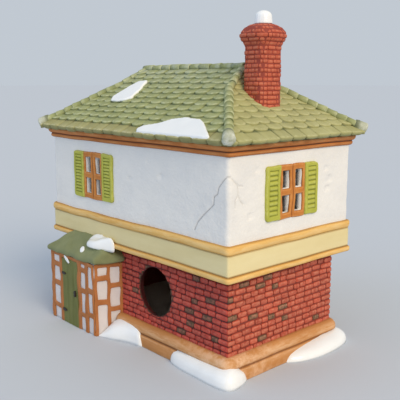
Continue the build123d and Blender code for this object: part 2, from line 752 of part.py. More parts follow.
def eave_roof_snow(roof_body):
    """A long patch above the rear eave by the near hip."""
    corner = (-eave_half_length - TILE_LIP, eave_half_depth + TILE_LIP)
    return roof_snow(inwards(corner, EAVE_SNOW), roof_body)


def porch_roof_snow(lean_to, jetty, door_plane):
    """A patch over the near hip of the porch roof, a spot beside it and a drip over the door."""
    edge = porch_face + LEAN_TO_OVERHANG
    reach = 2 * lean_to_top
    blanket = [(porch_corner_x + along, edge - across) for along, across in PORCH_SNOW]
    outlines = extrude(Polygon(*blanket, align=None), amount=reach, dir=(0, 0, 1))
    along, across = PORCH_SNOW_SPOT
    spot = RegularPolygon(PORCH_SNOW_SPOT_RADIUS, ROUND_SIDE_COUNT)
    outlines += Pos(porch_corner_x + along, edge - across) * extrude(spot, amount=reach)
    cover = (Pos(0, 0, ROOF_SNOW) * lean_to & outlines) - lean_to - brick_block() - jetty
    drip = extrude(Rot(0, 0, DRIP_TILT) * Ellipse(DRIP_LENGTH, DRIP_WIDTH), amount=DRIP_RELIEF)
    return cover + door_plane * Pos(DRIP_ASIDE, porch_height - DRIP_BELOW_HEAD, TIMBER_RELIEF) * drip


def ground_drift(points, spread, height, carriers):
    """A rounded bank of snow along the plinth, over an outline in plan, cut back to what it lies against."""
    foot = PLINTH_PROJECTION + spread
    crest = ThreePointArc((foot, 0), (foot - spread / 5, 0.6 * height), (0, height))
    profile = make_face(crest + Polyline((0, height), (0, 0), (foot, 0)))
    bank = moulding(profile, ground_length, ground_depth, 0, 0, height) & patch(points, height)
    for carrier in carriers:
        bank -= carrier
    return biggest(bank)


def corner_drift(carriers):
    """The drift round the rear left corner of the plinth."""
    x = -ground_length / 2 - PLINTH_PROJECTION
    y = brick_face + PLINTH_PROJECTION
    points = [(x + along, y + across) for along, across in CORNER_DRIFT]
    return ground_drift(points, CORNER_DRIFT_SPREAD, CORNER_DRIFT_HEIGHT, carriers)


def end_drift(carriers):
    """The drift along the left end and round its front corner."""
    x = -ground_length / 2 - PLINTH_PROJECTION
    y = -brick_face - PLINTH_PROJECTION
    points = [(x + along, y + across) for along, across in END_DRIFT]
    return ground_drift(points, END_DRIFT_SPREAD, END_DRIFT_HEIGHT, carriers)


def porch_drift(carriers):
    """The heap in the angle between the porch and the plinth, of mounds that run together."""
    mounds = []
    for along, across, reach, height in HEAP_MOUNDS:
        place = Pos(porch_foot_x + along, brick_face + PLINTH_PROJECTION + across)
        mounds.append(place * turned(dome_points(reach, 0, height)))
    heap = mounds[0].fuse(*mounds[1:])
    for carrier in carriers:
        heap -= carrier
    return biggest(heap)


# Assembly

def build_storeys(parts):
    """The walls with their window lights and the mouldings round them."""
    front_door_plane = on_wall("front", 0, 0, ground_length, ground_depth)
    parts["floor_plate"] = floor_plate()
    sides = ("rear", "front", "left", "right")
    for side, panel in zip(sides, wall_panels(ground_length, ground_depth, 0, GROUND_HEIGHT)):
        parts[side + "_brick_wall"] = panel
    parts["rear_brick_wall"] -= lamp_hole()
    for side, panel in zip(sides, wall_panels(plaster_length, plaster_depth, fascia_top, wall_top)):
        parts[side + "_plaster_wall"] = panel
    doorway = Pos(0, DOOR_HEIGHT / 2) * Rectangle(DOOR_WIDTH + 2 * DOOR_JAMB, DOOR_HEIGHT)
    porch_gap = extrude(porch_plan(TIMBER_RELIEF, WALL), amount=porch_height)
    parts["plinth"] = plinth(porch_gap + front_door_plane * extrude(doorway, amount=2 * PLINTH_PROJECTION))
    parts["jetty_sill"] = jetty_sill()
    parts["jetty_fascia"] = jetty_fascia()
    parts["string_course"] = string_course()
    parts["eaves_cornice"] = eaves_cornice()
    parts["front_door_frame"] = front_door_plane * door_frame()
    parts["front_door"] = front_door_plane * plank_door(DOOR_HEIGHT)
    parts["front_door_ironwork"] = front_door_plane * (strap_hinges(DOOR_HEIGHT, hung=1) + latch(hung=1))


def build_windows(parts):
    """A casement and two shutters at each upper window, and plain casements beside the front door."""
    sill = fascia_top + WINDOW_SILL + FRAME_HEIGHT / 2
    upper = {
        "rear": ("rear", plaster_length / 2 - REAR_WINDOW_INSET),
        "left": ("left", LEFT_WINDOW_Y),
        "right": ("right", RIGHT_WINDOW_Y),
        "front_left": ("front", FRONT_WINDOW_INSET - plaster_length / 2),
        "front_right": ("front", plaster_length / 2 - FRONT_WINDOW_INSET),
    }
    for name, (side, along) in upper.items():
        plane = on_wall(side, along, sill, plaster_length, plaster_depth)
        wall = side + "_plaster_wall"
        parts[wall] -= plane * extrude(panes(FRAME_HEIGHT), amount=-WALL)
        parts[name + "_casement"] = plane * casement(FRAME_HEIGHT)
        aside = (FRAME_WIDTH + SHUTTER_WIDTH) / 2
        parts[name + "_shutter_a"] = plane * (Pos(-aside, 0, 0) * shutter())
        parts[name + "_shutter_b"] = plane * (Pos(aside, 0, 0) * shutter())
    for name, side_x in (("left", -1), ("right", 1)):
        along = side_x * (ground_length / 2 - GROUND_WINDOW_INSET)
        plane = on_wall("front", along, brick_middle, ground_length, ground_depth)
        parts["front_brick_wall"] -= plane * extrude(panes(GROUND_FRAME_HEIGHT), amount=-WALL)
        parts["ground_" + name + "_casement"] = plane * casement(GROUND_FRAME_HEIGHT)


def build_roof(parts):
    """The roof shell with its tiles, caps and chimney, and the body that lies on top of them."""
    core = roof_core()
    tiled = crossed(tiled_outline(half_lengths), tiled_outline(half_depths))
    roof_body = core + tiled
    parts["roof_shell"] = roof_shell(core)
    for side in ("rear", "front", "left", "right"):
        parts[side + "_roof_tiles"] = slope_tiles(side, tiled, core)
    ridge = ridge_caps(roof_body)
    parts["ridge_caps"] = ridge
    for depth_name, side_y in (("rear", 1), ("front", -1)):
        for end_name, side_x in (("left", -1), ("right", 1)):
            caps = hip_caps(side_x, side_y, roof_body, ridge)
            parts[f"{depth_name}_{end_name}_hip_caps"] = caps
    parts["chimney_stack"] = chimney_stack(roof_body)
    parts["chimney_pot"] = chimney_pot()
    parts["upper_roof_snow"] = upper_roof_snow(roof_body)
    parts["eave_roof_snow"] = eave_roof_snow(roof_body)


def build_porch(parts):
    """The porch with its timbers, door and roof."""
    jetty = block(JETTY_LENGTH, JETTY_DEPTH, GROUND_HEIGHT, wall_top) + parts["jetty_sill"]
    parts["porch_walls"] = porch_walls()
    parts.update(porch_timbers())
    door_plane = Plane((porch_door_x, porch_face, 0), x_dir=(-1, 0, 0), z_dir=(0, 1, 0))
    door_height = porch_height - HEAD_RAIL
    parts["porch_door"] = door_plane * plank_door(door_height)
    parts["porch_door_ironwork"] = door_plane * (strap_hinges(door_height, hung=-1) + latch(hung=-1))
    parts["porch_roof"] = porch_roof(jetty)
    parts["porch_roof_snow"] = porch_roof_snow(parts["porch_roof"], jetty, door_plane)


def build_drifts(parts):
    """The snow heaped on the ground against the house."""
    porch = extrude(porch_plan(TIMBER_RELIEF, WALL), amount=porch_height)
    carriers = [brick_block(), parts["plinth"], porch]
    parts["corner_drift"] = corner_drift(carriers)
    parts["end_drift"] = end_drift(carriers)
    parts["porch_drift"] = porch_drift(carriers)


def build_house():
    """Every piece of the house by name."""
    parts = {}
    build_storeys(parts)
    build_windows(parts)
    build_roof(parts)
    build_porch(parts)
    build_drifts(parts)
    return parts


os.makedirs("parts", exist_ok=True)
for name, shape in build_house().items():
    export_step(shape, f"parts/{name}.step")
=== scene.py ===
"""Looks of a painted ceramic village house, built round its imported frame.

The house is one cast of white clay, fired to bisque and painted by hand. Soft copies of the
frame's pieces give the rounded edges of slip casting, courses of bricks, tiles and caps are
bedded by Geometry Nodes, and the snow is glazed. Sizes are millimetres unless a name says
otherwise, and meshes are written in metres.
"""
import json
import logging
import math
import random
from contextlib import contextmanager
from dataclasses import dataclass, field, replace
from enum import Enum
from itertools import groupby
from typing import Callable, Iterable, Iterator, Optional, Sequence, Union

import bmesh
import bpy
import numpy as np
from mathutils import Matrix, Vector, noise
from mathutils.bvhtree import BVHTree


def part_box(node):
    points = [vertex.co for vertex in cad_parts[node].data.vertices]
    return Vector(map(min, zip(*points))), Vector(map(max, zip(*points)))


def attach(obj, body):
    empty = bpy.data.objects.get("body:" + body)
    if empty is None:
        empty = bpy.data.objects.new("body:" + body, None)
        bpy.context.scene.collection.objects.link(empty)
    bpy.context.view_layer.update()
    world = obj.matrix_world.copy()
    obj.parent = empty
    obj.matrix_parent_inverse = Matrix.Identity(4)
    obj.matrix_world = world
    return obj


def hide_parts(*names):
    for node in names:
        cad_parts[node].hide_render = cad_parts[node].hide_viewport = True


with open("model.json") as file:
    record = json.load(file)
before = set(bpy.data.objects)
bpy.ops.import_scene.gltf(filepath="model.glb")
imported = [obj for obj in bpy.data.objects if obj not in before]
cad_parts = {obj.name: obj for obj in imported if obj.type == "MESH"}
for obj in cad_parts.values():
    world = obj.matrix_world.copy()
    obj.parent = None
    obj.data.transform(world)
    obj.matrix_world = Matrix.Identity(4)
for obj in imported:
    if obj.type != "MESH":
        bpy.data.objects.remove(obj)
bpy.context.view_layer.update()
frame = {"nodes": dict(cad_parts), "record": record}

LOG = logging.getLogger("village_house")
MM = 0.001
BODY = "root"
UP = Vector((0, 0, 1))

Point2 = tuple[float, float]
Point3 = tuple[float, float, float]
Array = np.ndarray
Values = Union[float, Array]
Piece = bpy.types.Object
Mesh = bpy.types.Mesh
Tree = bpy.types.NodeTree
Socket = bpy.types.NodeSocket


def linear(colour: str) -> tuple[float, float, float, float]:
    """Turn an sRGB hex colour into the linear colour that a shader takes.

    Args:
        colour: Six hex digits after a hash.

    Returns:
        Red, green, blue and an alpha of one.
    """
    shares = [int(colour[i:i + 2], 16) / 255 for i in (1, 3, 5)]
    light = [s / 12.92 if s <= 0.04045 else ((s + 0.055) / 1.055) ** 2.4 for s in shares]
    return light[0], light[1], light[2], 1.0


def per_metre(size: float) -> float:
    """The texture scale whose features are about that many millimetres wide."""
    return 1.0 / (size * MM)


def add_node(tree: Tree, kind: str, inputs: Optional[dict] = None,
             **settings: object) -> bpy.types.NodeOutputs:
    """Add a node with its settings and links.

    Args:
        tree: The tree that takes the node.
        kind: The node's type name.
        inputs: Values or output sockets for its inputs, by name or place.
        settings: Properties of the node by name.

    Returns:
        The outputs of the new node.
    """
    node = tree.nodes.new(kind)
    for key, value in settings.items():
        setattr(node, key, value)
    for key, value in (inputs or {}).items():
        if isinstance(value, Socket):
            tree.links.new(value, node.inputs[key])
        else:
            node.inputs[key].default_value = value
    return node.outputs


# Finishes

@dataclass(frozen=True)
class Finish:
    """A finish that makes its own material once."""

    name: str

    def material(self) -> bpy.types.Material:
        """Make the material, or find it where it is made already.

        Returns:
            The material.
        """
        made = bpy.data.materials.get(self.name)
        if made:
            return made
        made = bpy.data.materials.new(self.name)
        made.use_nodes = True
        tree = made.node_tree
        tree.nodes.clear()
        place = add_node(tree, "ShaderNodeTexCoord")["Object"]
        add_node(tree, "ShaderNodeOutputMaterial", {"Surface": self.shader(tree, place)})
        return made

    def shader(self, tree: Tree, place: Socket) -> Socket:
        """Build the shader on the object coordinates; each kind of finish has its own."""
        raise NotImplementedError


@dataclass(frozen=True)
class PaintedBisque(Finish):
    """Unglazed clay with hand-brushed matt paint.

    It shows as soft colour blotches, a dark wash in the hollows that also serves as painted shade,
    paint rubbed pale on the raised edges, and a chalky grain with faint brush strokes. Some paints
    are also dry-brushed with a pale colour towards one end of the house, between two distances along that
    way.
    """

    colour: str
    second: str
    wash: str
    rubbed: str
    wash_amount: float = 0.75
    rub_amount: float = 0.35
    blotch_size: float = 9.0
    bristle_size: float = 2.4
    stroke: Point3 = (1.0, 1.0, 1.0)
    roughness: float = 0.66
    roughness_spread: float = 0.08
    grain_size: float = 0.9
    grain_depth: float = 0.10
    varied: float = 0.0
    burnt: Optional[str] = None
    burnt_share: float = 0.09
    frosted: Optional[str] = None
    frost_from: float = 146.0
    frost_to: float = 166.0
    frost_way: Point3 = (0.0, 0.0, 1.0)
    frost_size: float = 5.0

    def shader(self, tree: Tree, place: Socket) -> Socket:
        """Mix two strengths of the paint in soft blotches, then vary, frost, wash with painted shade and rub
        it.

        Args:
            tree: The material's tree.
            place: Object coordinates.

        Returns:
            The shader.
        """
        drawn = add_node(tree, "ShaderNodeMapping", {"Vector": place, "Scale": self.stroke})[0]
        cloud = add_node(tree, "ShaderNodeTexNoise", {
            "Vector": drawn, "Scale": per_metre(self.blotch_size), "Detail": 4.0, "Roughness": 0.6})
        blotch = add_node(tree, "ShaderNodeMapRange", {
            "Value": cloud[0], "From Min": 0.32, "From Max": 0.68})[0]
        paint = add_node(tree, "ShaderNodeMix", {
            0: blotch, 6: linear(self.colour), 7: linear(self.second)}, data_type="RGBA")[2]
        if self.varied:
            paint = self._vary(tree, paint)
        if self.frosted:
            paint = self._frost(tree, place, paint)
        paint = self._wash_and_rub(tree, drawn, paint)
        rough = add_node(tree, "ShaderNodeMapRange", {
            "Value": blotch, "To Min": self.roughness - self.roughness_spread,
            "To Max": self.roughness + self.roughness_spread})
        # The chalky grain of bisque is drawn coarser than it is, so that it shows.
        chalk = add_node(tree, "ShaderNodeTexNoise", {
            "Vector": place, "Scale": per_metre(self.grain_size), "Detail": 3.0})
        grain = add_node(tree, "ShaderNodeBump", {
            "Strength": 0.5, "Distance": self.grain_depth * MM, "Height": chalk[0]})
        return add_node(tree, "ShaderNodeBsdfPrincipled", {
            "Base Color": paint, "Roughness": rough[0], "IOR": 1.45, "Normal": grain[0]})[0]

    def _vary(self, tree: Tree, paint: Socket) -> Socket:
        """Give each bedded unit its own strength of colour, and a few a burnt one.

        Args:
            tree: The material's tree.
            paint: The colour so far.

        Returns:
            The varied colour.
        """
        tint = add_node(tree, "ShaderNodeAttribute", attribute_name="tint")["Fac"]
        value = add_node(tree, "ShaderNodeMapRange", {
            "Value": tint, "To Min": 1.0 - self.varied, "To Max": 1.0 + self.varied})
        toned = add_node(tree, "ShaderNodeHueSaturation", {"Value": value[0], "Color": paint})[0]
        if not self.burnt:
            return toned
        chosen = add_node(tree, "ShaderNodeMath", {0: tint, 1: self.burnt_share}, operation="LESS_THAN")
        return add_node(tree, "ShaderNodeMix", {
            0: chosen[0], 6: toned, 7: linear(self.burnt)}, data_type="RGBA")[2]

    def _frost(self, tree: Tree, place: Socket, paint: Socket) -> Socket:
        """Dry-brush the part that lies furthest along the frost's way with a pale colour.

        Args:
            tree: The material's tree.
            place: Object coordinates.
            paint: The colour so far.

        Returns:
            The brushed colour.
        """
        along = add_node(tree, "ShaderNodeVectorMath", {0: place, 1: self.frost_way},
                         operation="DOT_PRODUCT")["Value"]
        level = add_node(tree, "ShaderNodeMapRange", {
            "Value": along, "From Min": self.frost_from * MM, "From Max": self.frost_to * MM})
        streak = add_node(tree, "ShaderNodeTexNoise", {
            "Vector": place, "Scale": per_metre(self.frost_size), "Detail": 5.0, "Roughness": 0.7})
        broken = add_node(tree, "ShaderNodeMapRange", {
            "Value": streak[0], "From Min": 0.42, "From Max": 0.62})
        amount = add_node(tree, "ShaderNodeMath", {0: level[0], 1: broken[0]}, operation="MULTIPLY")
        return add_node(tree, "ShaderNodeMix", {
            0: amount[0], 6: paint, 7: linear(self.frosted)}, data_type="RGBA")[2]

    def _wash_and_rub(self, tree: Tree, drawn: Socket, paint: Socket) -> Socket:
        """Darken the hollows with the wash, which is painted shade there too, and rub the raised edges pale.

        Args:
            tree: The material's tree.
            drawn: Coordinates drawn out along the brush strokes.
            paint: The colour so far.

        Returns:
            The finished colour.
        """
        relief = add_node(tree, "ShaderNodeAttribute", attribute_name="relief")["Fac"]
        # Negative relief darkens the paint: a wash that also stands for the shade of hollows, grooves and
        # joins.
        hollow_shade = add_node(tree, "ShaderNodeMapRange", {
            "Value": relief, "From Min": -0.30, "From Max": -0.02,
            "To Min": self.wash_amount, "To Max": 0.0})
        washed = add_node(tree, "ShaderNodeMix", {
            0: hollow_shade[0], 6: paint, 7: linear(self.wash)}, data_type="RGBA")
        raised = add_node(tree, "ShaderNodeMapRange", {
            "Value": relief, "From Min": 0.06, "From Max": 0.34, "To Max": self.rub_amount})
        bristle = add_node(tree, "ShaderNodeTexNoise", {
            "Vector": drawn, "Scale": per_metre(self.bristle_size), "Detail": 4.0, "Roughness": 0.7})
        broken = add_node(tree, "ShaderNodeMapRange", {
            "Value": bristle[0], "From Min": 0.38, "From Max": 0.6})
        amount = add_node(tree, "ShaderNodeMath", {0: raised[0], 1: broken[0]}, operation="MULTIPLY")
        return add_node(tree, "ShaderNodeMix", {
            0: amount[0], 6: washed[2], 7: linear(self.rubbed)}, data_type="RGBA")[2]


@dataclass(frozen=True)
class SnowGlaze(Finish):
    """White gloss glaze, poured thick: bright, wet-looking and slightly uneven."""

    name: str = "white gloss glaze"
    colour: str = "#F8FAFA"
    second: str = "#EFF3F4"
    roughness: float = 0.22
    pool_size: float = 14.0
    ripple_size: float = 7.0
    ripple_depth: float = 0.25

    def shader(self, tree: Tree, place: Socket) -> Socket:
        """Pool the glaze in two whites under a clear, rippled coat.

        Args:
            tree: The material's tree.
            place: Object coordinates.

        Returns:
            The shader.
        """
        pool = add_node(tree, "ShaderNodeTexNoise", {
            "Vector": place, "Scale": per_metre(self.pool_size), "Detail": 2.0})
        colour = add_node(tree, "ShaderNodeMix", {
            0: pool[0], 6: linear(self.colour), 7: linear(self.second)}, data_type="RGBA")
        ripple = add_node(tree, "ShaderNodeTexNoise", {
            "Vector": place, "Scale": per_metre(self.ripple_size), "Detail": 1.0})
        bump = add_node(tree, "ShaderNodeBump", {
            "Strength": 0.35, "Distance": self.ripple_depth * MM, "Height": ripple[0]})
        return add_node(tree, "ShaderNodeBsdfPrincipled", {
            "Base Color": colour[2], "Roughness": self.roughness, "IOR": 1.5,
            "Coat Weight": 0.5, "Coat Roughness": 0.08, "Normal": bump[0]})[0]


# Walls: every brick in its own strength of red, a few burnt brown, dark joints and worn pale edges,
# # with upper halves paler and lower halves darker as painted highlight and painted shade from light above.
BRICK = PaintedBisque("painted brick red", "#BA5037", "#A24430", "#702E22", "#E29A7C", varied=0.16,
                      burnt="#5F4A32", burnt_share=0.07, rub_amount=0.75, wash_amount=0.85, blotch_size=5.0)
MORTAR = PaintedBisque("brick wash in the joints", "#8A3E30", "#7A3428", "#5A241C", "#9A4A3A")
# Rear wall: the same bricks and joints made deeper and redder, as painted shade for the side in shade.
SHADE_BRICK = replace(BRICK, name="painted brick red, second coat", colour="#BC4333", second="#9A3227",
                      wash="#4E1A1A", rubbed="#D07864", burnt="#54412E", burnt_share=0.08)
SHADE_MORTAR = PaintedBisque("dark brick wash in the joints", "#602524", "#521E1E", "#3C1414", "#743230")
# Chimney: a warmer and more even red than the walls.
CHIMNEY = PaintedBisque("painted chimney red", "#C25A3B", "#AE4A31", "#872F20", "#E29A76", varied=0.07,
                        rub_amount=0.7, wash_amount=0.75, blotch_size=6.0)
CHIMNEY_JOINT = PaintedBisque("chimney wash in the joints", "#9A4130", "#8C3829", "#6A281E", "#AA5340")
# Mouldings: brushed along the house, so streaks run level, with pale crests and with dark grooves
# # and joins that are painted shade along with the wash.
# The plinth is dry-brushed paler towards the near corner.
PLINTH = PaintedBisque("painted plinth tan", "#CC9054", "#B97D44", "#7C4B24", "#EBC8A0",
                       stroke=(0.22, 0.22, 1.5), rub_amount=0.75, frosted="#E2B48C", frost_from=52.0,
                       frost_to=84.0, frost_way=(-0.7, 0.7, 0.0))
OCHRE = PaintedBisque("painted moulding ochre", "#E8BB6A", "#DCAA58", "#98642A", "#F4DBA4",
                      stroke=(0.22, 0.22, 1.5), wash_amount=0.7, rub_amount=0.5)
CREAM = PaintedBisque("painted fascia cream", "#E6D8A6", "#DCCB95", "#A6874B", "#F2E9C6",
                      stroke=(0.3, 0.3, 1.3), blotch_size=16.0, wash_amount=0.6)
CORNICE = PaintedBisque("painted cornice brown", "#C47530", "#B06527", "#5E300E", "#E0A466",
                        stroke=(0.22, 0.22, 1.5), wash_amount=0.95, rub_amount=0.55)
# Plaster: chalky white with a coarse trowelled grain, grey in the cracks as painted shade.
PLASTER = PaintedBisque("painted plaster white", "#EDEBE6", "#E5E4E1", "#9C9892", "#F4F3F0",
                        blotch_size=18.0, wash_amount=0.8, grain_size=1.7, grain_depth=0.6)
# Roof: olive with butts rubbed pale, frosted on the upper courses, thinly washed on the ends, hips
# # and ridge, almost white on the knobs at the foot of the hips, and painted shade between the tiles.
EAVE_OLIVE = PaintedBisque("painted eave olive", "#A6A26C", "#96935F", "#625F3C", "#CAC69E", varied=0.06,
                           rub_amount=0.7, wash_amount=0.8, blotch_size=9.0)
OLIVE = PaintedBisque("painted tile olive", "#9EA46E", "#8D9461", "#606845", "#C6CAA2", varied=0.06,
                      frosted="#ABB39C", rub_amount=0.8, wash_amount=0.75, blotch_size=11.0)
END_OLIVE = replace(OLIVE, name="painted tile olive, thin wash", colour="#AFAD76", second="#A09E68",
                    rubbed="#C9C799", frosted=None, rub_amount=0.5, wash_amount=0.45)
HIP_OLIVE = replace(OLIVE, name="painted hip cap olive, thin wash", rub_amount=0.9, wash_amount=0.42)
CAP_OLIVE = replace(OLIVE, name="dry-brushed cap olive", colour="#B9BDAA", second="#9FA383",
                    rubbed="#DCDFD2", frosted=None, blotch_size=4.0)
TILE_GAP_SHADE = PaintedBisque("olive wash under the tiles", "#646B45", "#5A613D", "#454B2E", "#747B54")
LEAN_OLIVE = PaintedBisque("painted lean-to olive", "#878C62", "#797F55", "#535A39", "#B4B9A0",
                           blotch_size=14.0, rub_amount=0.7)
# Windows, doors and porch: joinery colours with dark corners, and streaks that run up the planks.
CASEMENT = PaintedBisque("painted casement brown", "#CC8437", "#BC722D", "#7A4216", "#E8B274",
                         wash_amount=0.9, rub_amount=0.5)
SHUTTER = PaintedBisque("painted shutter green", "#BABB4C", "#AAAD40", "#7E842C", "#D4D684",
                        wash_amount=0.85, rub_amount=0.5)
DOOR = PaintedBisque("painted door green", "#767940", "#656934", "#404423", "#969A64",
                     stroke=(2.2, 2.2, 0.3), blotch_size=5.0)
INFILL = PaintedBisque("painted infill white", "#E2DCDA", "#D7D1D0", "#AF9C90", "#EDE9E7", blotch_size=12.0)
TIMBER = PaintedBisque("painted timber brown", "#B8743E", "#A86632", "#74401A", "#D39C68",
                       stroke=(1.3, 1.3, 0.6), blotch_size=6.0)
IRON = PaintedBisque("painted iron black", "#2F2A27", "#262220", "#151211", "#4F4843", roughness=0.5)
# The base has no paint: plain chalky clay.
BISQUE = PaintedBisque("bare bisque", "#E4DCCF", "#DAD1C3", "#B9AD9B", "#EDE8DF")
# Snow: the one glossy surface, against the matt paint.
SNOW = SnowGlaze()


# Mesh work that every piece shares

def place_object(name: str, data: bpy.types.ID) -> Piece:
    """Put a mesh, a lamp or a camera in the scene as an object at the origin."""
    piece = bpy.data.objects.new(name, data)
    bpy.context.scene.collection.objects.link(piece)
    return piece


class Skin:
    """Gathers faces in millimetres, shares equal corners and drops faces that shrink to nothing."""

    def __init__(self) -> None:
        """Start with no face."""
        self.points: list[Point3] = []
        self.reliefs: list[float] = []
        self.faces: list[list[int]] = []
        self.known: dict[Point3, int] = {}

    def corner(self, point: Sequence[float], relief: float) -> int:
        """Number a corner, new or known.

        Args:
            point: Its place.
            relief: Its relief.

        Returns:
            Its number.
        """
        key = tuple(round(float(value), 4) for value in point)
        if key not in self.known:
            self.known[key] = len(self.points)
            self.points.append(key)
            self.reliefs.append(relief)
        return self.known[key]

    def face(self, points: Sequence[Sequence[float]], reliefs: Sequence[float]) -> None:
        """Add a face, unless its corners fall together.

        Args:
            points: Its corners in order.
            reliefs: The relief at each corner.
        """
        numbers = [self.corner(point, relief) for point, relief in zip(points, reliefs)]
        numbers = list(dict.fromkeys(numbers))
        if len(numbers) > 2:
            self.faces.append(numbers)

    def piece(self, name: str) -> Piece:
        """Make the closed mesh, with its faces turned outwards and its relief stored.

        Args:
            name: Name of the mesh.

        Returns:
            The new object.
        """
        mesh = bpy.data.meshes.new(name)
        mesh.from_pydata([(x * MM, y * MM, z * MM) for x, y, z in self.points], [], self.faces)
        store(mesh, "relief", self.reliefs)
        piece = place_object(name, mesh)
        turn_outwards(piece)
        mesh.shade_smooth()
        return piece


def store(mesh: Mesh, label: str, values: Sequence[float]) -> None:
    """Store a number at every corner of a mesh."""
    mark = mesh.attributes.get(label) or mesh.attributes.new(label, "FLOAT", "POINT")
    mark.data.foreach_set("value", np.asarray(values, dtype=np.float32))


@contextmanager
def edit_mesh(mesh: Mesh) -> Iterator[bmesh.types.BMesh]:
    """Open a mesh for editing, and write it back afterwards.

    Args:
        mesh: The mesh to edit.

    Yields:
        Its editable form.
    """
    shape = bmesh.new()
    shape.from_mesh(mesh)
    yield shape
    shape.to_mesh(mesh)
    shape.free()


def turn_outwards(piece: Piece) -> None:
    """Turn the faces of a closed mesh outwards."""
    with edit_mesh(piece.data) as shape:
        bmesh.ops.recalc_face_normals(shape, faces=shape.faces)


def ring_stack(name: str, rings: Sequence[Sequence[Sequence[float]]], reliefs: Sequence[Sequence[float]],
               closed: bool = False) -> Piece:
    """A closed mesh through rings of equal count, joined end to end or capped at both ends.

    Args:
        name: Name of the mesh.
        rings: Rings of points in millimetres, in order.
        reliefs: The relief at each point of each ring.
        closed: Whether the last ring joins the first.

    Returns:
        The new object.
    """
    skin = Skin()
    count = len(rings[0])
    follow = list(range(1, len(rings))) + ([0] if closed else [])
    for low, high in enumerate(follow):
        for i in range(count):
            j = (i + 1) % count
            skin.face((rings[low][i], rings[low][j], rings[high][j], rings[high][i]),
                      (reliefs[low][i], reliefs[low][j], reliefs[high][j], reliefs[high][i]))
    if not closed:
        skin.face(rings[0], reliefs[0])
        skin.face(rings[-1], reliefs[-1])
    return skin.piece(name)


def slab(name: str, outer: Array, inner: Array, solid: Array, relief: Array,
         closed: bool = False) -> Piece:
    """Skin a grid of points front and back, and close it round its edge and its openings.

    Args:
        name: Name of the mesh.
        outer: Points of the face, by row and column.
        inner: Points of the back.
        solid: Which cells of the grid are there.
        relief: The relief at each point of the face.
        closed: Whether the last column joins the first.

    Returns:
        The new object.
    """
    skin = Skin()
    there = np.pad(solid, 1)
    if closed:
        there[1:-1, 0], there[1:-1, -1] = solid[:, -1], solid[:, 0]
    for j, i in np.argwhere(solid):
        k = (i + 1) % outer.shape[1]
        corners = ((j, i), (j, k), (j + 1, k), (j + 1, i))
        skin.face([outer[c] for c in corners], [relief[c] for c in corners])
        skin.face([inner[c] for c in corners[::-1]], [0.0] * 4)
        beside = ((j - 1, i), (j, i + 1), (j + 1, i), (j, i - 1))
        for (row, column), a, b in zip(beside, corners, corners[1:] + corners[:1]):
            if not there[row + 1, column + 1]:
                skin.face((outer[b], outer[a], inner[a], inner[b]), (relief[b], relief[a], 0.0, 0.0))
    return skin.piece(name)


def apply_modifiers(piece: Piece) -> Piece:
    """Turn a piece and its modifiers into a plain mesh.

    Args:
        piece: The object to settle.

    Returns:
        The same object, with no modifier left.
    """
    graph = bpy.context.evaluated_depsgraph_get()
    settled = bpy.data.meshes.new_from_object(piece.evaluated_get(graph), depsgraph=graph)
    old = piece.data
    piece.modifiers.clear()
    piece.data = settled
    settled.name = piece.name
    bpy.data.meshes.remove(old)
    settled.shade_smooth()
    return piece


def welded_copy(name: str, node: str) -> Piece:
    """Copy a frame node as a new piece whose faces share their corners.

    Args:
        name: Name of the new piece.
        node: The frame node.

    Returns:
        The copy.
    """
    mesh = frame["nodes"][node].data.copy()
    mesh.name = name
    with edit_mesh(mesh) as shape:
        bmesh.ops.remove_doubles(shape, verts=shape.verts, dist=0.002 * MM)
    return place_object(name, mesh)


def cast_copy(name: str, node: str, voxel: float, relax: int) -> Piece:
    """A soft-edged copy of a frame node, as slip casting leaves it.

    Args:
        name: Name of the new piece.
        node: The frame node to copy.
        voxel: Size of the remeshing voxels in millimetres.
        relax: Rounds of smoothing.

    Returns:
        The soft copy.
    """
    piece = welded_copy(name, node)
    remesh = piece.modifiers.new("Cast", "REMESH")
    remesh.mode = "VOXEL"
    remesh.voxel_size = voxel * MM
    soften = piece.modifiers.new("Soften", "SMOOTH")
    soften.iterations = relax
    return apply_modifiers(piece)


def read_points(mesh: Mesh) -> Array:
    """The corners of a mesh in millimetres, one row each."""
    points = np.empty(len(mesh.vertices) * 3)
    mesh.vertices.foreach_get("co", points)
    return points.reshape(-1, 3) / MM


def write_points(mesh: Mesh, points: Array) -> None:
    """Write back the corners of a mesh, given in millimetres."""
    mesh.vertices.foreach_set("co", (points * MM).ravel())
    mesh.update()


def read_normals(mesh: Mesh) -> Array:
    """The normals at the corners of a mesh, one row each."""
    normals = np.empty(len(mesh.vertices) * 3)
    mesh.vertex_normals.foreach_get("vector", normals)
    return normals.reshape(-1, 3)


def noise_at(points: Array, size: float, seed: int) -> Array:
    """Smooth noise of about that size in millimetres, from -1 to 1, at each point."""
    shift = Vector((seed * 7.31, seed * 3.77, seed * 5.13))
    return np.array([noise.noise(Vector(point) / size + shift) for point in points])


def hand_wobble(piece: Piece, amount: float, size: float, seed: int, swell: float = 0.0) -> None:
    """Move the surface in and out a little, as hand-finished clay does.

    Args:
        piece: The mesh to change.
        amount: Greatest move in millimetres.
        size: Width of the waves in millimetres.
        seed: Number that picks the waves.
        swell: Move outwards that the whole surface makes.
    """
    points = read_points(piece.data)
    moves = (swell + amount * noise_at(points, size, seed))[:, None]
    write_points(piece.data, points + moves * read_normals(piece.data))


def hand_warp(piece: Piece, amount: float, size: float, seed: int) -> None:
    """Bend straight edges a little, as a hand-carved model has them.

    Args:
        piece: The mesh to change.
        amount: Greatest move in millimetres.
        size: Width of the bends in millimetres.
        seed: Number that picks the bends.
    """
    points = read_points(piece.data)
    moves = [noise_at(points, size, seed + 101 * axis) for axis in range(3)]
    write_points(piece.data, points + amount * np.column_stack(moves))


def keep_above_ground(piece: Piece) -> None:
    """Lift every corner that has sunk below the ground back to it."""
    points = read_points(piece.data)
    points[:, 2] = np.maximum(points[:, 2], 0.0)
    write_points(piece.data, points)


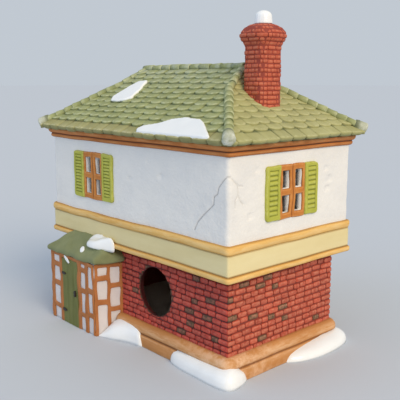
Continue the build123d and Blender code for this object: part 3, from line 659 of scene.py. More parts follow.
def mark_relief(piece: Piece, spread: int = 2) -> None:
    """Store how far each corner stands out, for the rubbed edges and for the wash, which paints shade in the
    hollows.

    Args:
        piece: The mesh to mark.
        spread: Rounds of averaging.
    """
    mesh = piece.data
    points = read_points(mesh)
    edges = np.empty(len(mesh.edges) * 2, dtype=np.int64)
    mesh.edges.foreach_get("vertices", edges)
    first, second = edges[0::2], edges[1::2]
    count = len(points)
    degree = np.maximum(np.bincount(edges, minlength=count), 1)

    def average(values: Array) -> Array:
        """The mean of each corner's neighbours."""
        total = np.bincount(first, values[second], count) + np.bincount(second, values[first], count)
        return total / degree

    around = np.stack([average(points[:, axis]) for axis in range(3)], axis=1)
    span = np.linalg.norm(points[first] - points[second], axis=1).mean()
    relief = -np.einsum("ij,ij->i", around - points, read_normals(mesh)) / span
    for _ in range(spread):
        relief = (relief + average(relief)) / 2
    store(mesh, "relief", relief)


def enlist(piece: Piece, finish: Finish, slot: str, *nodes: str) -> Piece:
    """Paint a finished piece, set it on the body and hide the frame nodes that it replaces.

    Args:
        piece: The finished mesh.
        finish: The finish that paints it.
        slot: The record's material slot; not used.
        nodes: Frame nodes that it replaces.

    Returns:
        The same piece.
    """
    if "relief" not in piece.data.attributes:
        mark_relief(piece)
    piece.data.materials.clear()
    piece.data.materials.append(finish.material())
    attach(piece, BODY)
    if nodes:
        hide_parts(*nodes)
    LOG.info("%s: %d faces", piece.name, len(piece.data.polygons))
    return piece


def paint_node(node: str, finish: Finish) -> None:
    """Paint a frame node that stays in view."""
    mesh = frame["nodes"][node].data
    mesh.materials.clear()
    mesh.materials.append(finish.material())


# Places on the house

class Side(Enum):
    """The four sides of the house by their outward direction, anticlockwise from above."""

    REAR = (0.0, 1.0)
    LEFT = (-1.0, 0.0)
    FRONT = (0.0, -1.0)
    RIGHT = (1.0, 0.0)

    @property
    def outward(self) -> Vector:
        """The direction that the side faces."""
        return Vector((*self.value, 0.0))

    @property
    def along(self) -> Vector:
        """The direction along the side, anticlockwise round the house."""
        return UP.cross(self.outward)

    @property
    def word(self) -> str:
        """The side's name in the frame's nodes."""
        return self.name.lower()

    @property
    def is_long(self) -> bool:
        """Whether the side runs along the house."""
        return self in (Side.REAR, Side.FRONT)

    def turn(self) -> Matrix:
        """Axes on an upright wall: along it, up, and outwards."""
        return axes(self.along, UP, self.outward)

    def at(self, along: float, height: float, out: float) -> Vector:
        """The point at a place along the side, a height, and a distance out from the middle."""
        return self.along * along + UP * height + self.outward * out

    def extent(self, node: str) -> tuple[float, float, float]:
        """Start and end of a frame node along the side, and how far out it reaches."""
        low, high = box_mm(node)
        ends = sorted(corner.dot(self.along) for corner in (low, high))
        return ends[0], ends[1], max(corner.dot(self.outward) for corner in (low, high))


def axes(across: Vector, up: Vector, out: Vector) -> Matrix:
    """The turn whose axes are these three directions."""
    return Matrix((across, up, out)).transposed()


def box_mm(node: str) -> tuple[Vector, Vector]:
    """The lowest and highest corner of a frame node, in millimetres."""
    low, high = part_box(node)
    return low / MM, high / MM


@dataclass(frozen=True)
class Opening:
    """A rectangle in a wall: along it and up."""

    start: float
    end: float
    bottom: float
    top: float

    def inset(self, along: Values, height: Values) -> Values:
        """How far inside the nearest edge a place lies, less than nothing if it lies outside."""
        sides = (along - self.start, self.end - along, height - self.bottom, self.top - height)
        return np.minimum.reduce(sides)

    def holds(self, along: Values, height: Values) -> Values:
        """Whether a place lies inside, or which of many places do."""
        return (self.start < along) & (along < self.end) & (self.bottom < height) & (height < self.top)


def middles(lines: Sequence[float]) -> list[float]:
    """The places halfway between one grid line and the next."""
    return [(low + high) / 2 for low, high in zip(lines, lines[1:])]


def grid_lines(start: float, end: float, step: float, stops: Iterable[float] = (),
               fine: Optional[Point2] = None, fine_step: float = 0.5) -> list[float]:
    """Grid lines between two ends, through every stop, closer together in a fine stretch.

    Args:
        start: The first line.
        end: The last line.
        step: Usual distance of the lines.
        stops: Places that need a line.
        fine: Start and end of the fine stretch.
        fine_step: Distance of the lines in it.

    Returns:
        The lines in order.
    """
    places = sorted({start, end, *(s for s in (*stops, *(fine or ())) if start < s < end)})
    lines = []
    for low, high in zip(places, places[1:]):
        close = fine is not None and fine[0] <= (low + high) / 2 <= fine[1]
        count = max(1, round((high - low) / (fine_step if close else step)))
        lines += [low + (high - low) * i / count for i in range(count)]
    return lines + [end]


@dataclass(frozen=True)
class Column:
    """A place on the way round a rectangular wall."""

    side: Side
    along: float
    place: Vector
    normal: Vector


def way_round(half_length: float, half_depth: float, corner: float, step: float,
              stops: Optional[dict] = None, fine: Optional[dict] = None) -> list[Column]:
    """Places all round a rectangle with rounded corners, anticlockwise from the right end of the rear.

    Args:
        half_length: Half its size along X.
        half_depth: Half its size along Y.
        corner: Radius of its corners.
        step: Distance between places.
        stops: Places that each side needs.
        fine: Stretch of each side that is finer.

    Returns:
        The places in order.
    """
    columns = []
    for side in Side:
        half, out = (half_length, half_depth) if side.is_long else (half_depth, half_length)
        needed, finer = (stops or {}).get(side, ()), (fine or {}).get(side)
        lines = grid_lines(corner - half, half - corner, step, needed, finer)
        columns += [Column(side, along, side.at(along, 0, out), side.outward) for along in lines]
        middle = side.at(half - corner, 0, out - corner)
        for share in (0.25, 0.5, 0.75):
            turn = math.pi / 2 * share
            normal = side.outward * math.cos(turn) + side.along * math.sin(turn)
            columns.append(Column(side, half, middle + normal * corner, normal))
    return columns


# Units that are bedded in courses

@dataclass
class Bed:
    """Where one unit lies: its place, its axes as a turn, and its size against the nominal unit."""

    place: Vector
    turn: Matrix
    span: Point3 = (1.0, 1.0, 1.0)


def bedding_tree() -> Tree:
    """Make the tree that sets a unit on every bed with a little unevenness, and makes it real.

    Returns:
        The Geometry Nodes tree, made once.
    """
    made = bpy.data.node_groups.get("Bedding")
    if made:
        return made
    tree = bpy.data.node_groups.new("Bedding", "GeometryNodeTree")
    kinds = {"Beds": "Geometry", "Unit": "Object", "Size variation": "Float", "Turn variation": "Float",
             "Seed": "Int", "Finish": "Material"}
    for label, kind in kinds.items():
        tree.interface.new_socket(label, in_out="INPUT", socket_type="NodeSocket" + kind)
    tree.interface.new_socket("Courses", in_out="OUTPUT", socket_type="NodeSocketGeometry")
    given = add_node(tree, "NodeGroupInput")
    turn, span = (add_node(tree, "GeometryNodeInputNamedAttribute", {"Name": label}, data_type="FLOAT_VECTOR")
                  for label in ("turn", "span"))
    low, high = (-1.0, -1.0, -1.0), (1.0, 1.0, 1.0)
    tilt, other = (add_node(tree, "FunctionNodeRandomValue", {0: first, 1: last, "Seed": given["Seed"]},
                            data_type="FLOAT_VECTOR") for first, last in ((low, high), (high, low)))
    tilted, change = (add_node(tree, "ShaderNodeVectorMath", {0: drawn[0], "Scale": given[label]},
                               operation="SCALE")
                      for drawn, label in ((tilt, "Turn variation"), (other, "Size variation")))
    lay, uneven = (add_node(tree, "FunctionNodeEulerToRotation", {0: angles[0]})
                   for angles in (turn, tilted))
    laid = add_node(tree, "FunctionNodeRotateRotation", {0: lay[0], 1: uneven[0]}, rotation_space="LOCAL")
    size = add_node(tree, "ShaderNodeVectorMath", {
        0: change[0], 1: span[0], 2: span[0]}, operation="MULTIPLY_ADD")
    unit = add_node(tree, "GeometryNodeObjectInfo", {"Object": given["Unit"]})
    courses = add_node(tree, "GeometryNodeInstanceOnPoints", {
        "Points": given["Beds"], "Instance": unit["Geometry"],
        "Rotation": laid[0], "Scale": size[0]})
    tint = add_node(tree, "FunctionNodeRandomValue", {"Seed": given["Seed"]}, data_type="FLOAT")
    tinted = add_node(tree, "GeometryNodeStoreNamedAttribute", {
        "Geometry": courses[0], "Name": "tint", "Value": tint[1]},
        data_type="FLOAT", domain="INSTANCE")
    real = add_node(tree, "GeometryNodeRealizeInstances", {0: tinted[0]})
    painted = add_node(tree, "GeometryNodeSetMaterial", {"Geometry": real[0], "Material": given["Finish"]})
    add_node(tree, "NodeGroupOutput", {0: painted[0]})
    return tree


def bed_courses(name: str, beds: Sequence[Bed], unit: Piece, finish: Finish,
                size_variation: float, turn_variation: float, seed: int) -> Piece:
    """Lay a unit on every bed.

    Args:
        name: Name of the new piece.
        beds: Where the units lie.
        unit: The nominal unit, which is used up.
        finish: The finish of the courses.
        size_variation: Greatest share by which a unit's size varies.
        turn_variation: Greatest turn of a unit, in radians.
        seed: Number that picks the unevenness.

    Returns:
        The courses as one plain mesh.
    """
    mesh = bpy.data.meshes.new(name)
    mesh.from_pydata([bed.place * MM for bed in beds], [], [])
    rows = {"turn": [tuple(bed.turn.to_euler()) for bed in beds], "span": [bed.span for bed in beds]}
    for label, values in rows.items():
        mark = mesh.attributes.new(label, "FLOAT_VECTOR", "POINT")
        mark.data.foreach_set("vector", np.array(values, dtype=np.float32).ravel())
    piece = place_object(name, mesh)
    bedding = piece.modifiers.new("Bedding", "NODES")
    bedding.node_group = bedding_tree()
    values = {"Unit": unit, "Size variation": size_variation, "Turn variation": turn_variation,
              "Seed": seed, "Finish": finish.material()}
    for socket in bedding.node_group.interface.items_tree:
        if socket.in_out == "INPUT" and socket.name in values:
            bedding[socket.identifier] = values[socket.name]
    apply_modifiers(piece)
    bpy.data.objects.remove(unit)
    return piece


def trim_courses(piece: Piece, cuts: Sequence[tuple[Vector, Vector]]) -> None:
    """Cut bedded units off along upright planes, and close each unit at its cut.

    Args:
        piece: Courses of closed units.
        cuts: A point on each plane in millimetres and the direction that is cut away.
    """
    with edit_mesh(piece.data) as shape:
        for place, away in cuts:
            everything = [*shape.verts, *shape.edges, *shape.faces]
            bmesh.ops.bisect_plane(shape, geom=everything, plane_co=place * MM, plane_no=away,
                                   clear_outer=True)
            bmesh.ops.holes_fill(shape, edges=[edge for edge in shape.edges if edge.is_boundary], sides=0)
    turn_outwards(piece)


# Brick storey

@dataclass
class Brickwork:
    """Raised pillow-faced bricks in wavy courses, laid on a flat wall."""

    course: float = 3.27
    brick_length: float = 6.8
    joint: float = 0.42
    relief: float = 0.65
    corner_round: float = 0.95
    end_slope: float = 0.55
    upright_joint: float = 0.65
    lengths: Point2 = (0.74, 1.22)
    shortest: float = 0.45
    depths: Point2 = (0.8, 1.2)
    lift: float = 0.08
    sway: float = 0.8
    sway_length: float = 19.0
    sway_height: float = 11.0
    seed: int = 11

    def brick(self) -> Piece:
        """One brick: length along X, height along Y and its face to +Z.

        Returns:
            The nominal brick.
        """
        height = self.course - self.joint
        # Depth as a share of the brick's, inset from the rim, and the relief at its foot and head. The relief
        #         # rises from foot to head: painted shade below and painted highlight above, as from light
        #         overhead.
        layers = ((-0.6, 0.0, -0.3, -0.16), (0.2, 0.0, -0.26, -0.08), (0.7, 0.2, -0.08, 0.14),
                  (0.95, 0.6, 0.06, 0.32), (1.0, 0.95, 0.12, 0.26))
        rings, reliefs = [], []
        for depth, inset, low, high in layers:
            half_length, half_height = self.brick_length / 2 - self.end_slope * inset, height / 2 - inset
            cut = min(self.corner_round, 0.75 * half_height)
            corner = [(half_length, half_height - cut), (half_length - 0.3 * cut, half_height - 0.3 * cut),
                      (half_length - cut, half_height)]
            half = corner + [(-x, y) for x, y in reversed(corner)]
            rings.append([(x, y, depth * self.relief) for x, y in half + [(-x, -y) for x, y in half]])
            reliefs.append([low + (high - low) * (0.5 + y / height) for _, y, _ in rings[-1]])
        return ring_stack("brick", rings, reliefs)

    def beds(self, side: Side, reach: float, face: float, bottom: float, top: float,
             openings: Sequence[Opening]) -> list[Bed]:
        """Lay out the bricks of one wall, course by course.

        Args:
            side: The wall's side.
            reach: Half the wall's length.
            face: Distance of its face from the middle of the house.
            bottom: Height of the lowest course.
            top: Height of the wall's top.
            openings: Rectangles that take no bricks.

        Returns:
            The beds of the bricks.
        """
        draw = random.Random(f"{self.seed} {side.word}")
        count = round((top - bottom) / self.course)
        height = (top - bottom) / count
        beds = []
        for row in range(count):
            level = bottom + (row + 0.5) * height
            for start, end in self._free(reach, level, openings):
                share = 0.5 if row % 2 else 1.0
                while end - start > self.joint:
                    length = self.brick_length * share * draw.uniform(*self.lengths)
                    share = 1.0
                    if end - start - length < self.shortest * self.brick_length:
                        length = end - start
                    middle = start + length / 2
                    wave = Vector((middle / self.sway_length, level / self.sway_height, row * 0.13))
                    height_now = level + self.sway * noise.noise(wave)
                    place = side.at(middle, height_now, face + draw.uniform(-self.lift, self.lift))
                    span = (length - self.upright_joint * self.joint) / self.brick_length
                    deep = draw.uniform(*self.depths)
                    beds.append(Bed(place, side.turn(), (span, height / self.course, deep)))
                    start += length
        return beds

    def _free(self, reach: float, level: float, openings: Sequence[Opening]) -> list[Point2]:
        """Find the stretches of a course that no opening takes.

        Args:
            reach: Half the course's length.
            level: Height of its middle.
            openings: Rectangles that take no bricks.

        Returns:
            Start and end of each stretch.
        """
        stretches = [(-reach, reach)]
        for gap in openings:
            if not gap.bottom - self.course / 2 < level < gap.top + self.course / 2:
                continue
            cut = []
            for low, high in stretches:
                cut += [(low, min(high, gap.start)), (max(low, gap.end), high)]
            stretches = [(low, high) for low, high in cut if high - low > self.joint]
        return stretches


@dataclass
class BrickStorey:
    """The brick walls of the ground storey, with the lamp hole cut through them."""

    bricks: Brickwork
    plinth_lap: float = 1.0
    corner_lap: float = 0.7
    hole_lip: float = 0.3
    hole_flare: float = 2.2
    hole_sides: int = 72
    plug_reach: float = 10.0
    frame_lap: float = 1.2
    porch_cant: float = 6.5

    def build(self) -> None:
        """Brick every wall, cut the lamp hole and paint the walls behind as joints."""
        wall_reach = box_mm("rear_brick_wall")[1]
        top = box_mm("jetty_sill")[0].z
        bottom = box_mm("plinth")[1].z - self.plinth_lap
        for number, side in enumerate(Side):
            wall = side.word + "_brick_wall"
            face = side.extent(wall)[2]
            reach = (wall_reach.x if side.is_long else wall_reach.y) + self.bricks.relief * self.corner_lap
            beds = self.bricks.beds(side, reach, face, bottom, top, self._openings(side))
            # The rear wall lies in shade, so it takes darker copies of both paints: painted shade.
            brick, joint = (SHADE_BRICK, SHADE_MORTAR) if side is Side.REAR else (BRICK, MORTAR)
            piece = bed_courses(side.word + "_bricks", beds, self.bricks.brick(), brick, size_variation=0.03,
                                turn_variation=0.03, seed=self.bricks.seed + number)
            if side is Side.REAR:
                self._cut_lamp_hole(piece)
                self._flare_lamp_hole(joint)
            else:
                paint_node(wall, joint)
            hand_wobble(piece, amount=0.12, size=4.0, seed=number + 1)
            enlist(piece, brick, "brick_red")

    def _openings(self, side: Side) -> list[Opening]:
        """Find the door, windows or porch that stand on a side's brickwork.

        Args:
            side: The wall's side.

        Returns:
            The rectangles that take no bricks.
        """
        by_side = {Side.FRONT: ("front_door_frame", "ground_left_casement", "ground_right_casement"),
                   Side.REAR: ("porch_walls",)}
        gaps = []
        for node in by_side.get(side, ()):
            low, high = box_mm(node)
            start, end, _ = side.extent(node)
            lap = self.porch_cant if node == "porch_walls" else self.frame_lap
            gaps.append(Opening(start + lap, end - lap, low.z, high.z - self.frame_lap))
        return gaps

    def _lamp_hole(self) -> tuple[float, float, float, float]:
        """Find the lamp hole, with a radius that reaches the nearest corners of the wall's mesh.

        Returns:
            Its middle along X, Y and Z, and its radius.
        """
        mount = next(m for m in frame["record"]["mounts"] if m["name"] == "lamp_hole")
        x, y, z = (value / MM for value in mount["pos_m"])
        wall_points = read_points(frame["nodes"]["rear_brick_wall"].data)
        near = np.hypot(wall_points[:, 0] - x, wall_points[:, 2] - z)
        return x, y, z, near[near > 1.0].min()

    def _flare_lamp_hole(self, finish: PaintedBisque) -> None:
        """Set a copy of the rear wall in its place, with the lamp hole wider inside than outside.

        Args:
            finish: The finish of the wall behind the bricks.
        """
        x, _, z, radius = self._lamp_hole()
        piece = welded_copy("rear_wall_body", "rear_brick_wall")
        points = read_points(piece.data)
        away = (points - (x, 0.0, z)) * (1.0, 0.0, 1.0)
        reach = np.linalg.norm(away, axis=1)
        inner = (abs(reach - radius) < 0.5) & (points[:, 1] < points[:, 1].max() - 1.0)
        points[inner] += self.hole_flare * away[inner] / reach[inner, None]
        write_points(piece.data, points)
        enlist(piece, finish, "brick_red", "rear_brick_wall")

    def _cut_lamp_hole(self, piece: Piece) -> None:
        """Cut the bricks away at the edge of the lamp hole.

        Args:
            piece: The rear wall's bricks.
        """
        x, y, z, radius = self._lamp_hole()
        radius += self.hole_lip
        turns = [2 * math.pi * i / self.hole_sides for i in range(self.hole_sides)]
        rings = [[(x + radius * math.cos(t), out, z + radius * math.sin(t)) for t in turns]
                 for out in (y - self.plug_reach, y + self.plug_reach)]
        plug = ring_stack("lamp_hole_plug", rings, [[0.0] * len(turns)] * 2)
        cut = piece.modifiers.new("Lamp hole", "BOOLEAN")
        cut.operation = "DIFFERENCE"
        cut.solver = "EXACT"
        cut.object = plug
        apply_modifiers(piece)
        bpy.data.objects.remove(plug)


# Plaster storey

@dataclass
class PlasterStorey:
    """Trowelled plaster walls with soft corners, window lights and a few hairline cracks."""

    wall: float = 4.0
    corner: float = 2.2
    coarse_step: float = 1.5
    trowel_depth: float = 0.3
    trowel_size: float = 13.0
    ridge_size: float = 4.5
    crack_depth: float = 0.6
    crack_width: float = 0.5
    crack_wash: float = 0.16
    flake_depth: float = 0.6
    cracked_rows: Point2 = (78.5, 111.0)
    cracked_columns: dict = field(default_factory=lambda: {
        Side.REAR: (50.0, 83.0), Side.LEFT: (-50.0, -36.0)})
    # Each crack is a line along its wall and up, and each flake a place and a radius.
    cracks: dict = field(default_factory=lambda: {
        Side.REAR: (((82.7, 109.2), (80.2, 108.4), (75.8, 103.6), (75.0, 100.2), (72.5, 98.5), (72.1, 94.5),
                     (64.3, 87.8), (60.2, 83.7), (58.1, 79.5)),),
        Side.LEFT: (((-49.2, 109.2), (-46.8, 108.2), (-43.1, 104.8), (-42.3, 99.9), (-40.9, 96.7),
                     (-38.6, 94.8)),
                    ((-42.3, 99.9), (-44.6, 97.4), (-44.2, 93.6)), ((-43.1, 104.8), (-39.4, 104.0)))})
    flakes: dict = field(default_factory=lambda: {
        Side.LEFT: ((27.0, 107.0, 2.2), (30.5, 101.5, 2.6), (29.0, 95.5, 1.8), (-34.0, 88.0, 2.0),
                    (-29.0, 111.0, 1.6)),
        Side.REAR: ((20.0, 112.0, 2.0), (30.0, 104.0, 1.6), (2.0, 100.0, 1.8))})

    def lights(self, side: Side) -> list[Opening]:
        """Find the open lights of every casement on a side, along it and up.

        Args:
            side: The wall's side.

        Returns:
            The lights.
        """
        found = []
        for node in frame["nodes"]:
            if node.endswith("_casement") and node.startswith(side.word):
                found += casement_lights(node, side)
        return found

    def build(self) -> None:
        """Plaster all four walls as one skin with soft corners."""
        low, high = box_mm("rear_plaster_wall")
        length, depth = high.x, high.y
        lights = {side: self.lights(side) for side in Side}
        stops = {side: [edge for light in lights[side] for edge in (light.start, light.end)] for side in Side}
        columns = way_round(length, depth, self.corner, self.coarse_step, stops, self.cracked_columns)
        edges = [edge for light in lights[Side.REAR] for edge in (light.bottom, light.top)]
        rows = grid_lines(low.z, high.z, self.coarse_step, edges, self.cracked_rows)
        solid = np.ones((len(rows) - 1, len(columns)), dtype=bool)
        heights = np.array(middles(rows))
        for i, (column, after) in enumerate(zip(columns, columns[1:] + columns[:1])):
            if after.side is column.side:
                for light in lights[column.side]:
                    solid[:, i] &= ~light.holds((column.along + after.along) / 2, heights)
        outer, inner, relief = self._points(columns, rows, length, depth)
        piece = slab("plaster_walls", outer, inner, solid, relief, closed=True)
        enlist(piece, PLASTER, "plaster_white", *(side.word + "_plaster_wall" for side in Side))

    def _points(self, columns: Sequence[Column], rows: Sequence[float], length: float,
                depth: float) -> tuple[Array, Array, Array]:
        """The trowelled face, the back and the relief of the walls.

        Args:
            columns: Places round the house.
            rows: Heights.
            length: Half the length of the walls.
            depth: Half their depth.

        Returns:
            Points of the face, points of the back and the relief of the face.
        """
        shape = (len(rows), len(columns))
        grid = [(column, z) for z in rows for column in columns]
        flat = np.array([(*column.place.xy, z) for column, z in grid])
        normals = np.array([column.normal for column, _ in grid])
        where = np.array([(column.along, z) for column, z in grid])
        sides = np.array([column.side.word for column, _ in grid])
        strokes = noise_at(flat, self.trowel_size, 3) + 0.5 * noise_at(flat, self.ridge_size, 4)
        cut = np.zeros(len(flat))
        hairs = np.zeros(len(flat))
        for side in Side:
            mask = sides == side.word
            for line in self.cracks.get(side, ()):
                hair = mask * np.clip(1 - distance_to_line(where, line) / self.crack_width, 0, 1)
                hairs = np.maximum(hairs, hair)
                cut = np.maximum(cut, self.crack_depth * hair)
            for along, height, radius in self.flakes.get(side, ()):
                reach = np.hypot(where[:, 0] - along, where[:, 1] - height) / radius + 0.4 * strokes
                cut = np.maximum(cut, mask * self.flake_depth * np.clip((1 - reach) * 3, 0, 1))
        outer = flat + normals * (self.trowel_depth * strokes - cut)[:, None]
        inner = flat - normals * self.wall
        inner[:, 0] = np.clip(inner[:, 0], self.wall - length, length - self.wall)
        inner[:, 1] = np.clip(inner[:, 1], self.wall - depth, depth - self.wall)
        # The cracks are greyed as painted shade, deeper on the rear wall, which lies in shade.
        shade = (sides == Side.REAR.word) + 0.8
        relief = -self.crack_wash * shade * hairs
        return outer.reshape(*shape, 3), inner.reshape(*shape, 3), relief.reshape(shape)


def distance_to_line(points: Array, line: Sequence[Point2]) -> Array:
    """Measure how far points lie from a line of straight stretches.

    Args:
        points: One row for each point.
        line: Corners of the line.

    Returns:
        The distance of each point.
    """
    best = np.full(len(points), np.inf)
    for start, end in zip(line, line[1:]):
        a, run = np.array(start), np.array(end) - np.array(start)
        share = np.clip((points - a) @ run / (run @ run), 0, 1)
        best = np.minimum(best, np.linalg.norm(points - a - share[:, None] * run, axis=1))
    return best


# Mouldings

@dataclass(frozen=True)
class Moulding:
    """A painted moulding: its profile out from a wall and up, with the relief at each point."""

    node: str
    half_length: float
    half_depth: float
    profile: tuple[Point3, ...]
    finish: PaintedBisque
    slot: str
    gaps: tuple[tuple[Side, float, float], ...] = ()
    wave: float = 0.3
    wave_out: float = 17.0
    wave_up: float = 23.0
    corner: float = 1.0
    step: float = 1.6

    def build(self) -> None:
        """Carry the profile round the house, in stretches where gaps break it."""
        stops = {side: [] for side in Side}
        for side, start, end in self.gaps:
            stops[side] += [start, end]
        columns = way_round(self.half_length, self.half_depth, self.corner, self.step, stops)
        stretches = self._stretches(columns)
        for number, stretch in enumerate(stretches):
            rings = [self._ring(column) for column in stretch]
            reliefs = [[relief for _, _, relief in self.profile]] * len(rings)
            name = self.node + "_moulding" + (f"_{number + 1}" if len(stretches) > 1 else "")
            piece = ring_stack(name, rings, reliefs, closed=not self.gaps)
            enlist(piece, self.finish, self.slot, *([self.node] if number == 0 else []))

    def _stretches(self, columns: Sequence[Column]) -> list[list[Column]]:
        """Split the way round at the gaps.

        Args:
            columns: Places all round the house.

        Returns:
            The places between one gap and the next.
        """
        if not self.gaps:
            return [list(columns)]

        def inside(column: Column) -> bool:
            """Whether a column lies within a gap."""
            return any(column.side is side and start < column.along < end for side, start, end in self.gaps)

        first = next(i for i, column in enumerate(columns) if inside(column))
        runs = groupby([*columns[first:], *columns[:first]], inside)
        stretches = [list(run) for in_gap, run in runs if not in_gap]
        return [stretch for stretch in stretches if len(stretch) > 1]

    def _ring(self, column: Column) -> list[Point3]:
        """Set the profile at one place, with hand-made waves on what shows of it.

        Args:
            column: The place.

        Returns:
            The points of the profile.
        """
        ring = []
        for out, height, _ in self.profile:
            point = column.place + column.normal * out
            if out > -0.5:
                push = noise.noise(Vector((point.x, point.y, height * 3)) / self.wave_out)
                point += column.normal * self.wave * push
                # X and Y change places here, so that the two waves differ.
                height += self.wave * noise.noise(Vector((point.y, point.x, 31.0)) / self.wave_up)
            x = min(max(point.x, -self.half_length - out), self.half_length + out) if out < 0 else point.x
            y = min(max(point.y, -self.half_depth - out), self.half_depth + out) if out < 0 else point.y
            ring.append((x, y, max(height, 0.0)))
        return ring


def bead(bottom: float, top: float, swell: float, back: float) -> tuple[Point3, ...]:
    """A round bead, with paint worn on its crest and painted shade at its edges.

    Args:
        bottom: Its lower edge.
        top: Its upper edge.
        swell: How far its crest stands out.
        back: How far out its back is.

    Returns:
        The profile of a moulding.
    """
    middle, half = (bottom + top) / 2, (top - bottom) / 2
    turns = [math.pi * (i / 10 - 0.5) for i in range(11)]
    crest = [(swell * math.cos(t) ** 0.8 if abs(math.cos(t)) > 1e-6 else 0.0, middle + half * math.sin(t),
              0.28 * math.cos(t) - 0.32 * (abs(math.sin(t)) > 0.8)) for t in turns]
    return ((back, bottom, 0.0), *crest, (back, top, 0.0))


@dataclass
class Mouldings:
    """The plinth, the jetty's bands and the cornice, run round the house."""

    sill_swell: float = 1.25
    sill_back: float = -10.9
    string_swell: float = 1.9
    string_back: float = -0.8
    string_wave: float = 0.7
    string_drop: float = 0.2
    fascia_wave: float = 0.22
    cornice_drop: float = 0.8
    cornice_rise: float = 1.1
    porch_lap: float = 1.0

    def build(self) -> None:
        """Run every moulding round its wall."""
        brick, plaster = box_mm("rear_brick_wall")[1], box_mm("rear_plaster_wall")[1]
        jetty = box_mm("jetty_fascia")[1]
        levels = {node: [corner.z for corner in box_mm(node)]
                  for node in ("jetty_sill", "jetty_fascia", "string_course", "eaves_cornice")}
        # Each profile gives the place out from the wall, the height and the relief of its points. Negative
        #         # relief paints shade in the grooves and where a moulding meets the wall or its neighbours.
        foot = ((-1.2, 0.0, 0.0), (4.9, 0.0, -0.1), (5.15, 0.5, 0.1), (5.1, 3.0, 0.0), (5.0, 5.6, 0.12),
                (4.75, 6.5, 0.2), (4.2, 7.0, -0.2), (3.6, 7.3, -0.6), (3.9, 7.7, -0.45), (4.5, 8.2, 0.0),
                (4.8, 9.0, 0.2), (4.75, 10.0, 0.22), (4.3, 11.3, 0.2), (3.4, 12.5, 0.12), (2.2, 13.3, 0.0),
                (0.8, 13.7, -0.15), (-0.2, 13.75, -0.3), (-1.2, 13.6, -0.3))
        porch = Side.REAR.extent("porch_walls")
        door = Side.FRONT.extent("front_door_frame")
        gaps = ((Side.REAR, porch[0], porch[1] - self.porch_lap), (Side.FRONT, door[0], door[1]))
        Moulding("plinth", brick.x, brick.y, foot, PLINTH, "plinth_tan", gaps).build()
        sill = bead(*levels["jetty_sill"], self.sill_swell, self.sill_back)
        Moulding("jetty_sill", jetty.x, jetty.y, sill, OCHRE, "jetty_ochre").build()
        low, high = levels["jetty_fascia"]
        band = ((-4.0, low, 0.0), (-0.15, low, -0.4), (0.0, low + 0.5, -0.3), (0.05, low + 1.1, 0.0),
                (0.1, (low + high) / 2, 0.05), (0.05, high - 1.0, 0.0), (0.0, high - 0.5, -0.3),
                (-0.2, high, -0.4), (-4.0, high, 0.0))
        Moulding("jetty_fascia", jetty.x, jetty.y, band, CREAM, "fascia_cream",
                 wave=self.fascia_wave).build()
        low, high = levels["string_course"]
        string = bead(low - self.string_drop, high, self.string_swell, self.string_back)
        Moulding("string_course", plaster.x, plaster.y, string, OCHRE, "jetty_ochre",
                 wave=self.string_wave).build()
        low = levels["eaves_cornice"][0] - self.cornice_drop
        rise = levels["eaves_cornice"][1] + self.cornice_rise - low
        rolls = ((-0.8, 0.0, 0.0), (0.2, 0.0, -0.3), (1.0, 0.05, 0.05), (1.6, 0.16, 0.3), (1.6, 0.29, 0.15),
                 (1.2, 0.36, -0.4), (1.3, 0.41, -0.45), (2.2, 0.46, 0.05), (3.0, 0.57, 0.32),
                 (3.4, 0.72, 0.3), (3.3, 0.86, 0.1), (2.8, 0.96, -0.15), (2.2, 1.0, -0.3), (-0.8, 1.0, 0.0))
        eaves = tuple((out, low + share * rise, relief) for out, share, relief in rolls)
        Moulding("eaves_cornice", plaster.x, plaster.y, eaves, CORNICE, "cornice_brown").build()


# Windows

CASEMENT_STILE = 2.0
CASEMENT_MULLION = 4.6
CASEMENT_RAIL = 3.3
CASEMENT_TRANSOM = 3.5


def board_of(node: str, side: Side) -> tuple[Opening, float, float]:
    """Find the rectangle that a window's node takes on its wall.

    Args:
        node: The frame node.
        side: Its side.

    Returns:
        The rectangle, and how far out from the middle of the house its back and its front are.
    """
    low, high = box_mm(node)
    start, end, front = side.extent(node)
    back = min(corner.dot(side.outward) for corner in (low, high))
    return Opening(start, end, low.z, high.z), back, front


def casement_lights(node: str, side: Side) -> list[Opening]:
    """Find the four open lights of a casement, along its wall and up.

    Args:
        node: The casement's frame node.
        side: Its side.

    Returns:
        The lights.
    """
    board = board_of(node, side)[0]
    middle = (board.start + board.end) / 2
    sill, head = board.bottom + CASEMENT_RAIL, board.top - CASEMENT_RAIL
    level = (sill + head) / 2
    columns = ((board.start + CASEMENT_STILE, middle - CASEMENT_MULLION / 2),
               (middle + CASEMENT_MULLION / 2, board.end - CASEMENT_STILE))
    rows = ((sill, level - CASEMENT_TRANSOM / 2), (level + CASEMENT_TRANSOM / 2, head))
    return [Opening(*column, *row) for column in columns for row in rows]


